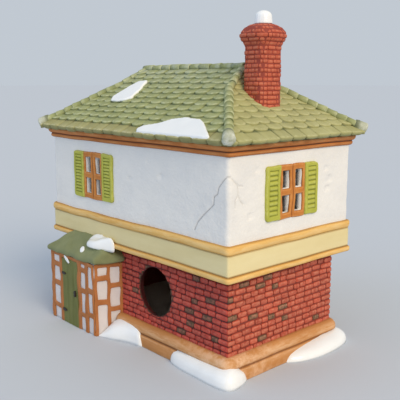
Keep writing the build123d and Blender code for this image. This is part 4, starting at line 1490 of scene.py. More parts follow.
@dataclass
class Windows:
    """Casements of two leaves and the shutters beside the upper ones, with rows of louvres."""

    step: float = 0.34
    rounding: float = 0.7
    leaf_groove: float = 0.5
    shutter_stile: float = 2.3
    shutter_rail: float = 2.4
    panel_depth: float = 0.75
    long_louvres: int = 12
    end_louvres: int = 9
    outline_warp: float = 0.6
    warp_size: float = 9.0
    outer_round: float = 2.6
    inner_round: float = 0.9

    def build(self) -> None:
        """Make every casement and shutter, then bed all the louvres."""
        beds = []
        for node in sorted(frame["nodes"]):
            if node.endswith("_casement"):
                self._casement(node, side_of(node))
            elif "_shutter_" in node:
                beds += self._shutter(node, side_of(node))
        louvres = bed_courses("shutter_louvres", beds, self._louvre(), SHUTTER, size_variation=0.04,
                              turn_variation=0.03, seed=23)
        enlist(louvres, SHUTTER, "shutter_green")

    def _edge_round(self, distance: Array) -> Array:
        """How full a rounded edge is at a distance from it, from 0 to 1."""
        short = 1 - np.clip(distance / self.rounding, 0, 1)
        return np.sqrt(np.clip(1 - short ** 2, 0, 1))

    def _casement(self, node: str, side: Side) -> None:
        """Make a frame with rounded members, a dark joint down its middle and four open lights.

        Args:
            node: The casement's frame node.
            side: Its side.
        """
        board, back, front = board_of(node, side)
        lights = casement_lights(node, side)
        across = [edge for light in lights for edge in (light.start, light.end)]
        upwards = [edge for light in lights for edge in (light.bottom, light.top)]
        us = grid_lines(board.start, board.end, self.step, across)
        vs = grid_lines(board.bottom, board.top, self.step, upwards)
        u, v = np.meshgrid(us, vs)
        distance = board.inset(u, v)
        for light in lights:
            aside = np.maximum(np.maximum(light.start - u, u - light.end), 0)
            above = np.maximum(np.maximum(light.bottom - v, v - light.top), 0)
            distance = np.minimum(distance, np.hypot(aside, above))
        groove = np.exp(-((u - (board.start + board.end) / 2 + 0.25 * np.sin(v / 4)) / 0.3) ** 2)
        fullness = 0.25 + 0.75 * self._edge_round(distance)
        out = back + (front - back) * fullness - self.leaf_groove * groove
        # The rim along the edges and round the lights is darkened as painted shade; the leaves' joint is a
        # dark line.
        relief = 0.3 * np.exp(-((distance - 0.6) / 0.4) ** 2) - 0.25 * (distance < 0.1) - 0.4 * groove
        cells = np.meshgrid(middles(us), middles(vs))
        solid = ~np.logical_or.reduce([light.holds(*cells) for light in lights])
        piece = self._panel(node, side, u, v, out, back, solid, relief)
        enlist(piece, CASEMENT, "casement_brown", node)

    def _panel(self, node: str, side: Side, u: Array, v: Array, out: Array, back: float,
               solid: Array, relief: Array) -> Piece:
        """A slab on a wall, with its outline bent a little by hand.

        Args:
            node: The frame node that names it.
            side: Its side.
            u: Places along the wall.
            v: Heights.
            out: How far out the face is.
            back: How far out the back is.
            solid: Which cells are there.
            relief: The relief of the face.

        Returns:
            The new object.
        """
        seed = sum(map(ord, node)) % 97
        flat = np.column_stack([u.ravel(), v.ravel(), np.full(u.size, 40.0)])
        bend, lift = (self.outline_warp * noise_at(flat, self.warp_size, number).reshape(u.shape)
                      for number in (seed, seed + 1))
        along, outward, up = (np.array(way) for way in (side.along, side.outward, UP))
        place = (u + bend)[..., None] * along + (v + lift)[..., None] * up
        return slab("soft_" + node, place + out[..., None] * outward, place + back * outward, solid, relief)

    def _shutter(self, node: str, side: Side) -> list[Bed]:
        """Make a shutter board with rounded edges and a sunk panel.

        Args:
            node: The shutter's frame node.
            side: Its side.

        Returns:
            The beds of its louvres.
        """
        board, back, front = board_of(node, side)
        inner = Opening(board.start + self.shutter_stile, board.end - self.shutter_stile,
                        board.bottom + 1.25 * self.shutter_rail, board.top - self.shutter_rail)
        u, v = np.meshgrid(grid_lines(board.start, board.end, self.step, (inner.start, inner.end)),
                           grid_lines(board.bottom, board.top, self.step, (inner.bottom, inner.top)))
        middle_u, middle_v = (board.start + board.end) / 2, (board.bottom + board.top) / 2
        casement = side.extent(node.split("_shutter_")[0] + "_casement")
        outwards = 1 if middle_u > (casement[0] + casement[1]) / 2 else -1
        distance, sunk = board.inset(u, v), inner.inset(u, v)
        depth = self.panel_depth * np.clip(sunk / 0.4 + 0.5, 0, 1)
        out = back + (front - back) * (0.2 + 0.8 * self._edge_round(distance)) - depth
        # The sunk panel is darkened as painted shade; a band near the edges is rubbed pale.
        relief = 0.32 * np.exp(-((distance - 0.45) / 0.4) ** 2) - 0.4 * (sunk > -0.2)
        solid = np.ones((u.shape[0] - 1, u.shape[1] - 1), dtype=bool)
        for sign, corner in ((outwards, self.outer_round), (-outwards, self.inner_round)):
            over_u = np.clip(sign * (u - middle_u) - (board.end - board.start) / 2 + corner, 0, None)
            over_v = np.clip(np.abs(v - middle_v) - (board.top - board.bottom) / 2 + corner, 0, None)
            pull_u = over_u * (1 - np.sqrt(1 - over_v ** 2 / (2 * corner ** 2)))
            pull_v = over_v * (1 - np.sqrt(1 - over_u ** 2 / (2 * corner ** 2)))
            u, v = u - sign * pull_u, v - np.sign(v - middle_v) * pull_v
        piece = self._panel(node, side, u, v, out, back, solid, relief)
        enlist(piece, SHUTTER, "shutter_green", node)
        count = self.long_louvres if side.is_long else self.end_louvres
        pitch = (inner.top - inner.bottom) / count
        span = ((inner.end - inner.start) / (2 * self.shutter_stile + 2), pitch / 2.2, 1.0)
        levels = [inner.bottom + (i + 0.5) * pitch for i in range(count)]
        seat = front - self.panel_depth
        return [Bed(side.at(middle_u, level, seat), side.turn(), span) for level in levels]

    def _louvre(self) -> Piece:
        """One louvre: a bar along X, rounded, tilted so that its foot stands out.

        Returns:
            The nominal louvre.
        """
        half = self.shutter_stile + 1
        # Height, depth out and relief; the edges against the next louvre are darkened as painted shade.
        profile = ((-0.95, -0.3, -0.4), (-0.9, 0.2, -0.1), (-0.6, 0.55, 0.25), (0.0, 0.65, 0.25),
                   (0.6, 0.45, 0.05), (0.95, 0.05, -0.3), (0.95, -0.3, -0.4))
        rings = [[(x, y, z) for y, z, _ in profile] for x in (-half, -0.6 * half, 0.6 * half, half)]
        return ring_stack("louvre", rings, [[relief for _, _, relief in profile]] * len(rings))


def side_of(node: str) -> Side:
    """The side that a window's frame node is on."""
    word = "front" if node.startswith("ground") else node.split("_")[0]
    return Side[word.upper()]


# Doors and porch, softened from the frame

@dataclass(frozen=True)
class SoftCast:
    """How softly a node is cast: its remeshing voxels, rounds of smoothing, waves and bends, and the
    swell that makes up for the smoothing."""

    finish: PaintedBisque
    slot: str
    voxel: float
    relax: int
    wobble: float
    warp: float
    swell: float = 0.0
    wobble_size: float = 6.0
    warp_size: float = 8.0

    def build(self, node: str, seed: int) -> Piece:
        """Cast one node and set the piece in its place.

        Args:
            node: The frame node.
            seed: Number that picks the waves.

        Returns:
            The piece.
        """
        piece = cast_copy("soft_" + node, node, self.voxel, self.relax)
        mark_relief(piece)
        hand_wobble(piece, self.wobble, self.wobble_size, seed, self.swell)
        if self.warp:
            hand_warp(piece, self.warp, self.warp_size, seed)
        keep_above_ground(piece)
        return enlist(piece, self.finish, self.slot, node)


@dataclass
class DoorsAndPorch:
    """Doors, ironwork, the timber-framed porch and its lean-to roof, cast softer and uneven."""

    timber: SoftCast = SoftCast(TIMBER, "timber_brown", 0.32, 4, 0.2, 0.6, 0.06)
    door: SoftCast = SoftCast(DOOR, "door_green", 0.26, 2, 0.12, 0.15)
    iron: SoftCast = SoftCast(IRON, "iron_black", 0.16, 5, 0.12, 0.15)
    walls: SoftCast = SoftCast(INFILL, "porch_plaster", 0.6, 3, 0.15, 0.0)
    roof: SoftCast = SoftCast(LEAN_OLIVE, "roof_olive", 0.5, 30, 0.35, 0.6, 0.3)
    full_from: float = 32.0
    full_run: float = 17.0
    full_move: Point3 = (-2.0, 0.0, 0.9)

    def build(self) -> None:
        """Cast every piece."""
        casts = {"_timbers": self.timber, "front_door_frame": self.timber, "_door": self.door,
                 "_ironwork": self.iron}
        for number, node in enumerate(sorted(frame["nodes"])):
            for ending, cast in casts.items():
                if node.endswith(ending):
                    cast.build(node, number)
        self.walls.build("porch_walls", 71)
        roof = self.roof.build("porch_roof", 72)
        # Draw the near end out and up, where the cast roof is fuller than the modelled one.
        points = read_points(roof.data)
        near = np.clip((self.full_from - points[:, 0]) / self.full_run, 0.0, 1.0)
        write_points(roof.data, points + np.outer(near, self.full_move))


# Roof

@dataclass
class TiledRoof:
    """Overlapping tiles in twelve courses on four slopes, with caps on the ridge and hips."""

    lip: float = 2.4
    low_courses: int = 8
    steep_courses: int = 4
    hip_run: float = 35.3
    hip_top_run: float = 7.5
    ridge_flat: float = 1.0
    eave_edge: float = 2.2
    tile_width: float = 9.8
    tile_length: float = 8.4
    tile_thick: float = 1.55
    tile_crown: float = 0.16
    edge_from: float = 0.7
    edge_drop: float = 0.22
    side_shift: float = 0.35
    slope_shift: Point2 = (-0.5, 0.35)
    thicknesses: Point2 = (0.8, 1.15)
    end_thickness: float = 0.72
    widths: Point2 = (0.96, 1.04)
    usual_exposure: float = 5.2
    eave_lap: float = 2.2
    butt_drop: float = 2.0
    cap_radius: float = 2.9
    cap_step: float = 0.4
    cap_overhang: float = 1.3
    corner_reach: float = 2.2
    low_caps: int = 9
    steep_caps: int = 4
    ridge_caps: int = 10
    ridge_lift: float = 0.6
    tile_seed: int = 41
    # Greatest turn of a cap in radians, and the seeds of its bedding and of its surface.
    hip_unevenness: tuple[float, int, int] = (0.05, 48, 5)
    ridge_unevenness: tuple[float, int, int] = (0.04, 50, 6)

    def __post_init__(self) -> None:
        """Read the roof's reach and levels from the frame."""
        low, high = box_mm("rear_roof_tiles")
        self.eave_length = high.x - self.lip
        self.eave_depth = high.y - self.lip
        self.eave_level = low.z + self.eave_edge
        self.ridge_level = high.z
        self.courses = self.low_courses + self.steep_courses
        self.course_rise = (self.ridge_level - self.eave_level) / self.courses

    def half_length(self, course: float) -> float:
        """Half the roof body's length at a course."""
        low = min(course, self.low_courses)
        steep = max(0.0, course - self.low_courses)
        run = self.hip_run * low / self.low_courses
        return self.eave_length - run - self.hip_top_run * steep / self.steep_courses

    def half_depth(self, course: float) -> float:
        """Half the roof body's depth at a course."""
        return self.eave_depth - (self.eave_depth - self.ridge_flat) * course / self.courses

    def halves(self, side: Side) -> tuple[Callable[[float], float], Callable[[float], float]]:
        """How far out a side's slope is at a course, and how far it reaches along."""
        return (self.half_depth, self.half_length) if side.is_long else (self.half_length, self.half_depth)

    def tile(self, butt_curve: float, foot_back: float, foot_drop: float, bare: float) -> Piece:
        """One tile with a rounded butt: X across it, Y up the slope and Z out of the roof.

        Args:
            butt_curve: How far the butt's corners lie back.
            foot_back: How far its foot lies back from its rim.
            foot_drop: How far its foot lies under the slope.
            bare: Share of its length that the next course leaves bare.

        Returns:
            The nominal tile.
        """
        half = self.tile_width / 2
        shares = (-1.0, -0.93, -0.7, -0.35, 0.0, 0.35, 0.7, 0.93, 1.0)
        # Share of the way up, height against the slope and relief of each row of points. The two rows
        #         # under the next course's butt are darkened as its painted shadow.
        rows = ((0.0, -0.4, -0.05), (0.07, -0.05, 0.4), (0.25, 0.0, 0.14), (bare, 0.0, 0.0),
                (bare + 0.09, 0.0, -0.3), (1.0, 0.0, -0.4))
        top, relief = [], []
        for along, sink, mark in rows:
            for share in shares:
                butt = butt_curve * abs(share) ** 2.2
                y = butt + (self.tile_length - butt) * along
                edge = max(0.0, abs(share) - self.edge_from) / (1 - self.edge_from)
                drop = self.edge_drop * edge ** 2
                z = self.tile_thick * (1 - 0.8 * y / self.tile_length)
                z += self.tile_crown * (1 - share ** 2) - drop + sink
                top.append((share * half, y - self.butt_drop, z))
                relief.append(mark - drop)
        wide = len(shares)
        skin = Skin()
        for j in range(len(rows) - 1):
            for i in range(wide - 1):
                corners = [j * wide + i, j * wide + i + 1, (j + 1) * wide + i + 1, (j + 1) * wide + i]
                skin.face([top[c] for c in corners], [relief[c] for c in corners])
        last = (len(rows) - 1) * wide
        rim = [*range(wide), *range(2 * wide - 1, last, wide), *range(last + wide - 1, last - 1, -1),
               *range(last - wide, 0, -wide)]
        # The foot is washed a little dark: painted shade in the notches between tiles.
        foot = [(0.97 * top[c][0], top[c][1] + foot_back, -foot_drop) for c in rim]
        for a, (start, end) in enumerate(zip(rim, rim[1:] + rim[:1])):
            b = (a + 1) % len(rim)
            skin.face((top[end], top[start], foot[a], foot[b]), (relief[end], relief[start], -0.1, -0.1))
        skin.face(foot, [-0.1] * len(foot))
        return skin.piece("tile")

    def beds(self, side: Side, courses: Iterable[int], draw: random.Random) -> list[Bed]:
        """Lay out the tiles of some courses on a side.

        Args:
            side: The slope's side.
            courses: Numbers of the courses, from the eave up.
            draw: Random draws of the side.

        Returns:
            The beds of the tiles.
        """
        out_at, reach_at = self.halves(side)
        beds = []
        for course in courses:
            run = out_at(course) - out_at(course + 1)
            angle = math.atan2(self.course_rise, run)
            exposure = math.hypot(run, self.course_rise)
            up = side.outward * -math.cos(angle) + UP * math.sin(angle)
            out = side.outward * math.sin(angle) + UP * math.cos(angle)
            reach = reach_at(course) + self.lip
            count = max(1, round(2 * reach / self.tile_width))
            pitch = 2 * reach / count
            level = self.eave_level + course * self.course_rise
            for i in range(count + (course + 1) % 2):
                shift = draw.uniform(-self.side_shift, self.side_shift)
                along = -reach + (i + 0.5 * (course % 2)) * pitch + shift
                lower = self.eave_lap if course == 0 else 0.0
                climb = draw.uniform(*self.slope_shift) - lower
                place = side.at(along, level, out_at(course)) + up * climb
                thick = draw.uniform(*self.thicknesses) * (1.0 if side.is_long else self.end_thickness)
                wide = pitch / self.tile_width * draw.uniform(*self.widths)
                span = (wide, 0.3 + 0.7 * exposure / self.usual_exposure, thick)
                beds.append(Bed(place, axes(side.along, up, out), span))
        return beds

    def _hip_cuts(self, side: Side, low: float, high: float) -> list[tuple[Vector, Vector]]:
        """Find the upright planes over a side's two hips and across their feet.

        Args:
            side: The slope's side.
            low: Lower of the two courses that the planes run between.
            high: Upper one.

        Returns:
            A point on each plane and the direction that is cut away.
        """
        out_at, reach_at = self.halves(side)
        cuts = []
        for sign in (1, -1):
            start = side.at(sign * reach_at(low), 0, out_at(low))
            end = side.at(sign * reach_at(high), 0, out_at(high))
            away = (end - start).cross(UP).normalized()
            cuts.append((start, away if away.dot(side.along) * sign > 0 else -away))
            if low == 0:
                down = (start - end).normalized()
                cuts.append((start + down * self.corner_reach, down))
        return cuts

    def build(self) -> None:
        """Tile the slopes, cap the ridge and hips and paint the body under them."""
        for number, side in enumerate(Side):
            draw = random.Random(self.tile_seed + number)
            knee = self.low_courses
            stages = (("eave", 0, 1, EAVE_OLIVE), ("lower", 1, knee, OLIVE),
                      ("upper", knee, self.courses, OLIVE))
            for word, low, high, finish in stages:
                beds = self.beds(side, range(low, high), draw)
                tile = self.tile(2.3, 0.35, 2.8, 0.55) if low else self.tile(0.5, 0.0, 1.6, 0.82)
                finish = finish if side.is_long else END_OLIVE
                piece = bed_courses(f"{side.word}_{word}_tiles", beds, tile, finish, size_variation=0.03,
                                    turn_variation=0.025, seed=self.tile_seed + number)
                hip = (0, knee) if low < knee else (knee, self.courses)
                trim_courses(piece, self._hip_cuts(side, *hip))
                hand_wobble(piece, amount=0.16, size=5.0, seed=number)
                enlist(piece, finish, "roof_olive", *([side.word + "_roof_tiles"] if low == 0 else []))
        self._caps()
        # The body under the tiles is painted dark olive, as painted shade in the gaps between them.
        paint_node("roof_shell", TILE_GAP_SHADE)

    def cap(self, pitch: float, domed: bool = False) -> Piece:
        """One half-round cap: X along the line from its thick lower end, Z up.

        Args:
            pitch: Distance between caps.
            domed: Whether its lower end is a rounded knob.

        Returns:
            The nominal cap.
        """
        # Place along the line, growth of the radius and relief of each ring. The open lower end of a plain
        #         # cap and the tail under the next cap are darkened as painted shade.
        end = ((0.9, -1.3, -0.8), (0.25, -0.95, -0.5), (0.0, -0.5, 0.1), (0.15, -0.15, 0.35))
        if domed:
            end = ((-0.9, -2.7, 0.3), (-0.8, -1.9, 0.34), (-0.5, -1.0, 0.3), (0.0, -0.35, 0.2))
        profile = (*end, (0.6, 0.0, 0.3), (0.5 * pitch, -0.2, 0.1), (0.92 * pitch, -self.cap_step, -0.3),
                   (1.15 * pitch, -self.cap_step - 0.3, -0.5))
        first = -65 if domed else -25
        turns = [math.radians(first + (180 - 2 * first) * i / 12) for i in range(13)]
        rings = [[(along, (self.cap_radius + grow) * math.cos(t), (self.cap_radius + grow) * math.sin(t))
                  for t in turns] for along, grow, _ in profile]
        return ring_stack("cap", rings, [[relief] * len(turns) for _, _, relief in profile])

    def _cap_beds(self, start: Vector, end: Vector, count: int, size: float) -> list[Bed]:
        """Lay out caps in a row.

        Args:
            start: The lower end of the row.
            end: The upper end.
            count: How many caps there are.
            size: Their width and height against the nominal cap.

        Returns:
            The beds of the caps.
        """
        run = (end - start).normalized()
        side = UP.cross(run).normalized()
        turn = axes(run, side, run.cross(side))
        return [Bed(start.lerp(end, i / count), turn, (1.0, size, size)) for i in range(count)]

    def _caps(self) -> None:
        """Set the caps down the four hips and along the ridge."""
        rows = []
        for depth_word, side_y in (("rear", 1), ("front", -1)):
            for end_word, side_x in (("left", -1), ("right", 1)):
                eave, knee = (Vector((side_x * (self.half_length(course) + self.lip / 2),
                                      side_y * (self.half_depth(course) + self.lip / 2),
                                      self.eave_level + course * self.course_rise))
                              for course in (0, self.low_courses))
                top = Vector((side_x * self.half_length(self.courses), 0, self.ridge_level))
                foot = eave + (eave - knee).normalized() * self.cap_overhang
                beds = self._cap_beds(foot, knee, self.low_caps, 0.88)
                beds[0].span = (1.0, 1.14, 1.32)
                pitch = (knee - foot).length / self.low_caps
                steep = self._cap_beds(knee, top, self.steep_caps, 0.8)
                for bed in steep:
                    bed.span = ((top - knee).length / self.steep_caps / pitch, *bed.span[1:])
                name = f"{depth_word}_{end_word}_hip"
                rows += [(name, beds[1:] + steep, pitch, False, HIP_OLIVE, [name + "_caps"]),
                         (name + "_foot", beds[:1], pitch, True, CAP_OLIVE, [])]
        half = self.half_length(self.courses) + self.cap_radius / 2
        level = self.ridge_level + self.ridge_lift
        beds = self._cap_beds(Vector((-half, 0, level)), Vector((half, 0, level)), self.ridge_caps, 0.85)
        rows.append(("ridge", beds, 2 * half / self.ridge_caps, False, HIP_OLIVE, ["ridge_caps"]))
        for name, beds, pitch, domed, finish, nodes in rows:
            turn, seed, wave_seed = self.ridge_unevenness if name == "ridge" else self.hip_unevenness
            piece = bed_courses(name, beds, self.cap(pitch, domed), finish, size_variation=0.05,
                                turn_variation=turn, seed=seed)
            hand_wobble(piece, amount=0.2, size=4.0, seed=wave_seed)
            enlist(piece, finish, "roof_olive", *nodes)


# Chimney

@dataclass
class Chimney:
    """A brick stack with rounded corners whose head swells and closes to a white pot."""

    bricks: Brickwork
    half_width: float = 7.5
    half_depth: float = 8.5
    corner: float = 4.0
    swell: float = 2.8
    flare: float = 6.1
    dome: float = 6.1
    shoulder: float = -3.1
    foot: float = 138.0
    bare_top: float = 0.4
    pot_growth: float = 0.14

    def __post_init__(self) -> None:
        """Read the stack's place and the height of its neck from the frame."""
        low, high = box_mm("chimney_stack")
        self.centre = (low + high) / 2
        self.top = high.z
        self.neck = high.z - self.flare - self.dome

    def growth(self, level: float) -> float:
        """Find how far the section has grown outwards.

        Args:
            level: The height.

        Returns:
            The growth on every side.
        """
        widest = self.neck + self.flare
        if level <= self.neck:
            return 0.0
        if level <= widest:
            share = (level - self.neck) / self.flare
            return self.swell * (3 * share ** 2 - 2 * share ** 3)
        share = min(1.0, (level - widest) / self.dome)
        return self.swell - (self.swell - self.shoulder) * share ** 1.8

    def skin(self, share: float, level: float) -> tuple[Vector, Vector]:
        """The point and the outward direction at a share of the way round, at a height.

        Args:
            share: From 0 to 1, anticlockwise.
            level: The height.

        Returns:
            The point and the outward direction.
        """
        grow = self.growth(level)
        width, depth = self.half_width + grow, self.half_depth + grow
        corner = min(self.corner + max(grow, 0.0), 0.94 * width)
        point, normal = rounded_rectangle(share, width, depth, corner)
        rise = self.growth(level + 0.05) - self.growth(level - 0.05)
        lean = Vector((normal.x, normal.y, -rise / 0.1)).normalized()
        return Vector((self.centre.x + point.x, self.centre.y + point.y, level)), lean

    def build(self) -> None:
        """Bed the bricks on a flat sheet, wrap the sheet round the stack and top it with the pot."""
        around = 2 * math.pi * self.corner + 4 * (self.half_width + self.half_depth - 2 * self.corner)
        levels = np.linspace(self.foot, self.top - self.bare_top, 240)
        grown = [self.growth(level) for level in levels]
        climbs = np.concatenate(([0.0], np.cumsum(np.hypot(np.diff(levels), np.diff(grown)))))
        beds = self.bricks.beds(Side.REAR, around / 2, 0.0, 0.0, climbs[-1], ())
        piece = bed_courses("chimney_bricks", beds, self.bricks.brick(), CHIMNEY, size_variation=0.03,
                            turn_variation=0.02, seed=self.bricks.seed)
        wrapped = []
        for x, y, z in read_points(piece.data):
            place, lean = self.skin((x / around) % 1.0, float(np.interp(z, climbs, levels)))
            wrapped.append(place + lean * y)
        write_points(piece.data, np.array(wrapped))
        turn_outwards(piece)
        hand_wobble(piece, amount=0.1, size=3.0, seed=3)
        enlist(piece, CHIMNEY, "brick_red")
        paint_node("chimney_stack", CHIMNEY_JOINT)
        pot = cast_copy("soft_chimney_pot", "chimney_pot", voxel=0.3, relax=10)
        points = read_points(pot.data)
        points[:, :2] += self.pot_growth * (points[:, :2] - points[:, :2].mean(axis=0))
        write_points(pot.data, points)
        enlist(pot, SNOW, "snow_glaze", "chimney_pot")


def rounded_rectangle(share: float, width: float, depth: float, corner: float) -> tuple[Vector, Vector]:
    """The point and normal at a share of the way round a rounded rectangle.

    Args:
        share: From 0 to 1, anticlockwise from the start of the +X side's straight stretch.
        width: Half its width.
        depth: Half its depth.
        corner: Radius of its corners.

    Returns:
        The point and the outward direction.
    """
    straight = (2 * (depth - corner), 2 * (width - corner))
    arc = math.pi / 2 * corner
    left = share * 2 * (sum(straight) + 2 * arc)
    for quarter, way in enumerate(((1, 0), (0, 1), (-1, 0), (0, -1))):
        out = Vector(way)
        run = Vector((-out.y, out.x))
        half = straight[quarter % 2] / 2
        reach = width if quarter % 2 == 0 else depth
        if left <= 2 * half:
            return out * reach + run * (left - half), out
        left -= 2 * half
        if left <= arc or quarter == 3:
            turn = min(left, arc) / corner
            normal = out * math.cos(turn) + run * math.sin(turn)
            return out * (reach - corner) + run * half + normal * corner, normal
        left -= arc
    raise ValueError("share lies past the whole way round")


# Snow

def smooth_line(keys: Sequence[Sequence[float]], count: int, closed: bool = False) -> Array:
    """Points along a smooth curve through key points.

    Args:
        keys: Key points, of any number of values each.
        count: How many points to give.
        closed: Whether the curve returns to its start.

    Returns:
        One row for each point.
    """
    before, after = (keys[-1], keys[:2]) if closed else (keys[0], keys[-1:])
    rows = np.array([before, *keys, *after], dtype=float)
    last = len(keys) if closed else len(keys) - 1
    points = []
    for i in range(count):
        where = last * i / (count if closed else count - 1)
        k = min(int(where), last - 1)
        t = where - k
        a, b, c, d = rows[k:k + 4]
        points.append(0.5 * (2 * b + (c - a) * t + (2 * a - 5 * b + 4 * c - d) * t ** 2
                             + (3 * b - a - 3 * c + d) * t ** 3))
    return np.array(points)


@dataclass(frozen=True)
class Drift:
    """A bank of snow between a crest against the house and its foot on the ground."""

    name: str
    crest: tuple[Point2, ...]
    foot: tuple[Point2, ...]
    heights: tuple[float, ...]
    node: str
    round_end: float = 0.09
    along: int = 72
    across: int = 14

    def build(self) -> None:
        """Skin the bank and set it in place of its node."""
        crest = smooth_line(self.crest, self.along)
        foot = smooth_line(self.foot, self.along)
        tops = smooth_line([(h,) for h in self.heights], self.along)[:, 0]
        rings = []
        for number, (start, end, top) in enumerate(zip(crest, foot, np.maximum(tops, 0.05))):
            ring = []
            near = min(1.0, min(number, self.along - 1 - number) / (self.round_end * self.along))
            full = max(0.04, math.sqrt(1 - (1 - near) ** 2))
            middle = start + 0.5 * (end - start)
            start, end = middle + full * (start - middle), middle + full * (end - middle)
            top *= full ** 1.6
            for i in range(self.across + 1):
                turn = math.pi / 2 * i / self.across
                place = start + (end - start) * math.sin(turn) ** 1.15
                ring.append((place[0], place[1], top * math.cos(turn) ** 0.75 if i < self.across else 0.0))
            ring.append((start[0], start[1], 0.0))
            rings.append(ring)
        piece = ring_stack(self.name, rings, [[0.0] * len(rings[0])] * len(rings))
        hand_wobble(piece, amount=0.25, size=9.0, seed=len(self.name))
        keep_above_ground(piece)
        enlist(piece, SNOW, "snow_glaze", self.node)


CORNER_DRIFT = Drift(
    "corner_snow",
    ((-36.5, 46.0), (-45.0, 45.5), (-62.0, 45.5), (-75.0, 45.0), (-79.0, 42.5), (-79.5, 38.0), (-79.5, 33.5)),
    ((-35.5, 48.4), (-44.0, 51.0), (-62.0, 52.2), (-79.0, 52.3), (-85.2, 49.0), (-85.0, 40.5), (-81.8, 33.0)),
    (6.6, 8.2, 8.8, 9.2, 9.6, 7.4, 4.6), "corner_drift")
END_DRIFT = Drift(
    "end_snow",
    ((-80.5, 1.0), (-79.5, -7.0), (-79.0, -22.0), (-79.0, -38.0), (-77.0, -45.5), (-70.0, -46.0),
     (-64.0, -46.5)),
    ((-81.8, 2.0), (-87.0, -6.5), (-89.8, -21.5), (-89.0, -38.0), (-84.0, -51.0), (-72.0, -52.2),
     (-63.0, -48.6)),
    (3.0, 5.4, 7.0, 7.4, 7.6, 6.0, 3.0), "end_drift")
PORCH_DRIFT = Drift(
    "porch_snow",
    ((22.0, 57.6), (18.5, 52.0), (14.5, 46.5), (7.0, 45.0), (0.0, 45.5), (-6.0, 46.0), (-9.5, 46.8)),
    ((22.9, 58.9), (14.0, 56.2), (7.5, 53.6), (1.5, 51.4), (-4.0, 50.2), (-8.4, 49.4), (-10.2, 48.2)),
    (2.0, 6.8, 10.8, 11.4, 11.2, 9.6, 4.0), "porch_drift", 0.26)


@dataclass(frozen=True)
class SnowBlanket:
    """A pillow of snow draped over the porch roof inside an outline in plan."""

    name: str
    outline: tuple[Point2, ...]
    middle: Point2
    depth: float
    heap: float = 0.0
    lowest: float = 0.0

    def build(self, roof: Piece, *nodes: str) -> None:
        """Drape the pillow on the roof and set it in place of its node.

        Args:
            roof: The piece that carries the snow.
            nodes: Frame nodes that it replaces.
        """
        mesh = roof.data
        corners = [vertex.co for vertex in mesh.vertices]
        surface = BVHTree.FromPolygons(corners, [tuple(face.vertices) for face in mesh.polygons])
        edge = smooth_line(self.outline, 72, closed=True)
        layers = [(0.97, -0.6), *((share, self.depth * (1 - share ** 5) ** 0.5)
                                  for share in (1.0, 0.99, 0.96, 0.9, 0.8, 0.66, 0.5, 0.32, 0.16, 0.04))]
        heights = [self._roof_level(surface, x, y) for x, y in edge]
        plane = np.linalg.lstsq(np.column_stack((edge, np.ones(len(edge)))), heights, rcond=None)[0]
        rings = []
        for share, rise in layers:
            places = np.array(self.middle) + share * (edge - np.array(self.middle))
            ring = []
            for x, y in places:
                level = share * self._roof_level(surface, x, y) + (1 - share) * (plane @ (x, y, 1.0))
                towards = self.middle[0] - x
                ring.append((x, y, level + rise * (1 + self.heap * (towards + math.hypot(towards, 4.0)) / 2)))
            rings.append(ring)
        piece = ring_stack(self.name, rings, [[0.0] * len(edge)] * len(rings))
        enlist(piece, SNOW, "snow_glaze", *nodes)

    def _roof_level(self, surface: BVHTree, x: float, y: float) -> float:
        """Find the height of the roof under a place or nearest to it, at least where the snow bridges.

        Args:
            surface: The roof.
            x: The place along X.
            y: The place along Y.

        Returns:
            The height.
        """
        hit = surface.ray_cast(Vector((x * MM, y * MM, 1.0)), Vector((0, 0, -1)))[0]
        if hit is None:
            hit = surface.find_nearest(Vector((x, y, 50.0)) * MM)[0]
        return max(hit.z / MM, self.lowest)


PORCH_BLANKET = SnowBlanket(
    "porch_snow_blanket",
    ((35.2, 55.6), (35.8, 53.6), (34.4, 51.6), (31.4, 49.8), (27.0, 48.6), (22.0, 48.4), (16.0, 49.2),
     (11.8, 51.0), (12.2, 52.4), (15.2, 53.8), (19.0, 55.6), (22.4, 57.2), (26.0, 58.2), (30.0, 58.2),
     (33.0, 57.3)),
    middle=(25.0, 53.2), depth=3.1, heap=0.14, lowest=55.7)
PORCH_SPOT = SnowBlanket(
    "porch_snow_spot", ((38.6, 58.6), (38.4, 57.2), (36.2, 56.9), (34.7, 58.0), (35.4, 59.0), (37.2, 59.4)),
    middle=(36.7, 58.2), depth=1.1)


@dataclass
class SnowCover:
    """Glazed patches on the roofs and drifts against the foot of the house."""

    voxel: float = 0.34
    relax: int = 16
    swell: float = 0.45

    def build(self) -> None:
        """Soften the roof patches and bank the drifts."""
        for node in ("upper_roof_snow", "eave_roof_snow"):
            piece = cast_copy("soft_" + node, node, self.voxel, self.relax)
            hand_wobble(piece, amount=0.15, size=8.0, seed=2, swell=self.swell)
            enlist(piece, SNOW, "snow_glaze", node)
        roof = bpy.data.objects["soft_porch_roof"]
        PORCH_BLANKET.build(roof, "porch_roof_snow")
        PORCH_SPOT.build(roof)
        self._drip()
        for drift in (CORNER_DRIFT, END_DRIFT, PORCH_DRIFT):
            drift.build()

    def _drip(self) -> None:
        """Keep the lowest part of the porch snow, which runs down over the door's head."""
        piece = cast_copy("porch_snow_drip", "porch_roof_snow", voxel=0.25, relax=6)
        level = box_mm("porch_walls")[1].z + 1.0
        with edit_mesh(piece.data) as shape:
            high = [vertex for vertex in shape.verts if vertex.co.z > level * MM]
            bmesh.ops.delete(shape, geom=high, context="VERTS")
        enlist(piece, SNOW, "snow_glaze")


# Studio

@dataclass(frozen=True)
class SoftLamp:
    """A wide soft lamp far away, so that the floor is lit evenly: its direction from the house, its
    width as an angle in degrees, its light in watts for each square metre, and its colour."""

    name: str
    towards: Point3
    spread: float
    strength: float
    colour: str

    def build(self) -> None:
        """Hang the lamp."""
        light = bpy.data.lights.new(self.name, "SUN")
        light.angle = math.radians(self.spread)
        light.energy = self.strength
        light.color = linear(self.colour)[:3]
        lamp = place_object(self.name, light)
        lamp.rotation_euler = (-Vector(self.towards)).to_track_quat("-Z", "Y").to_euler()


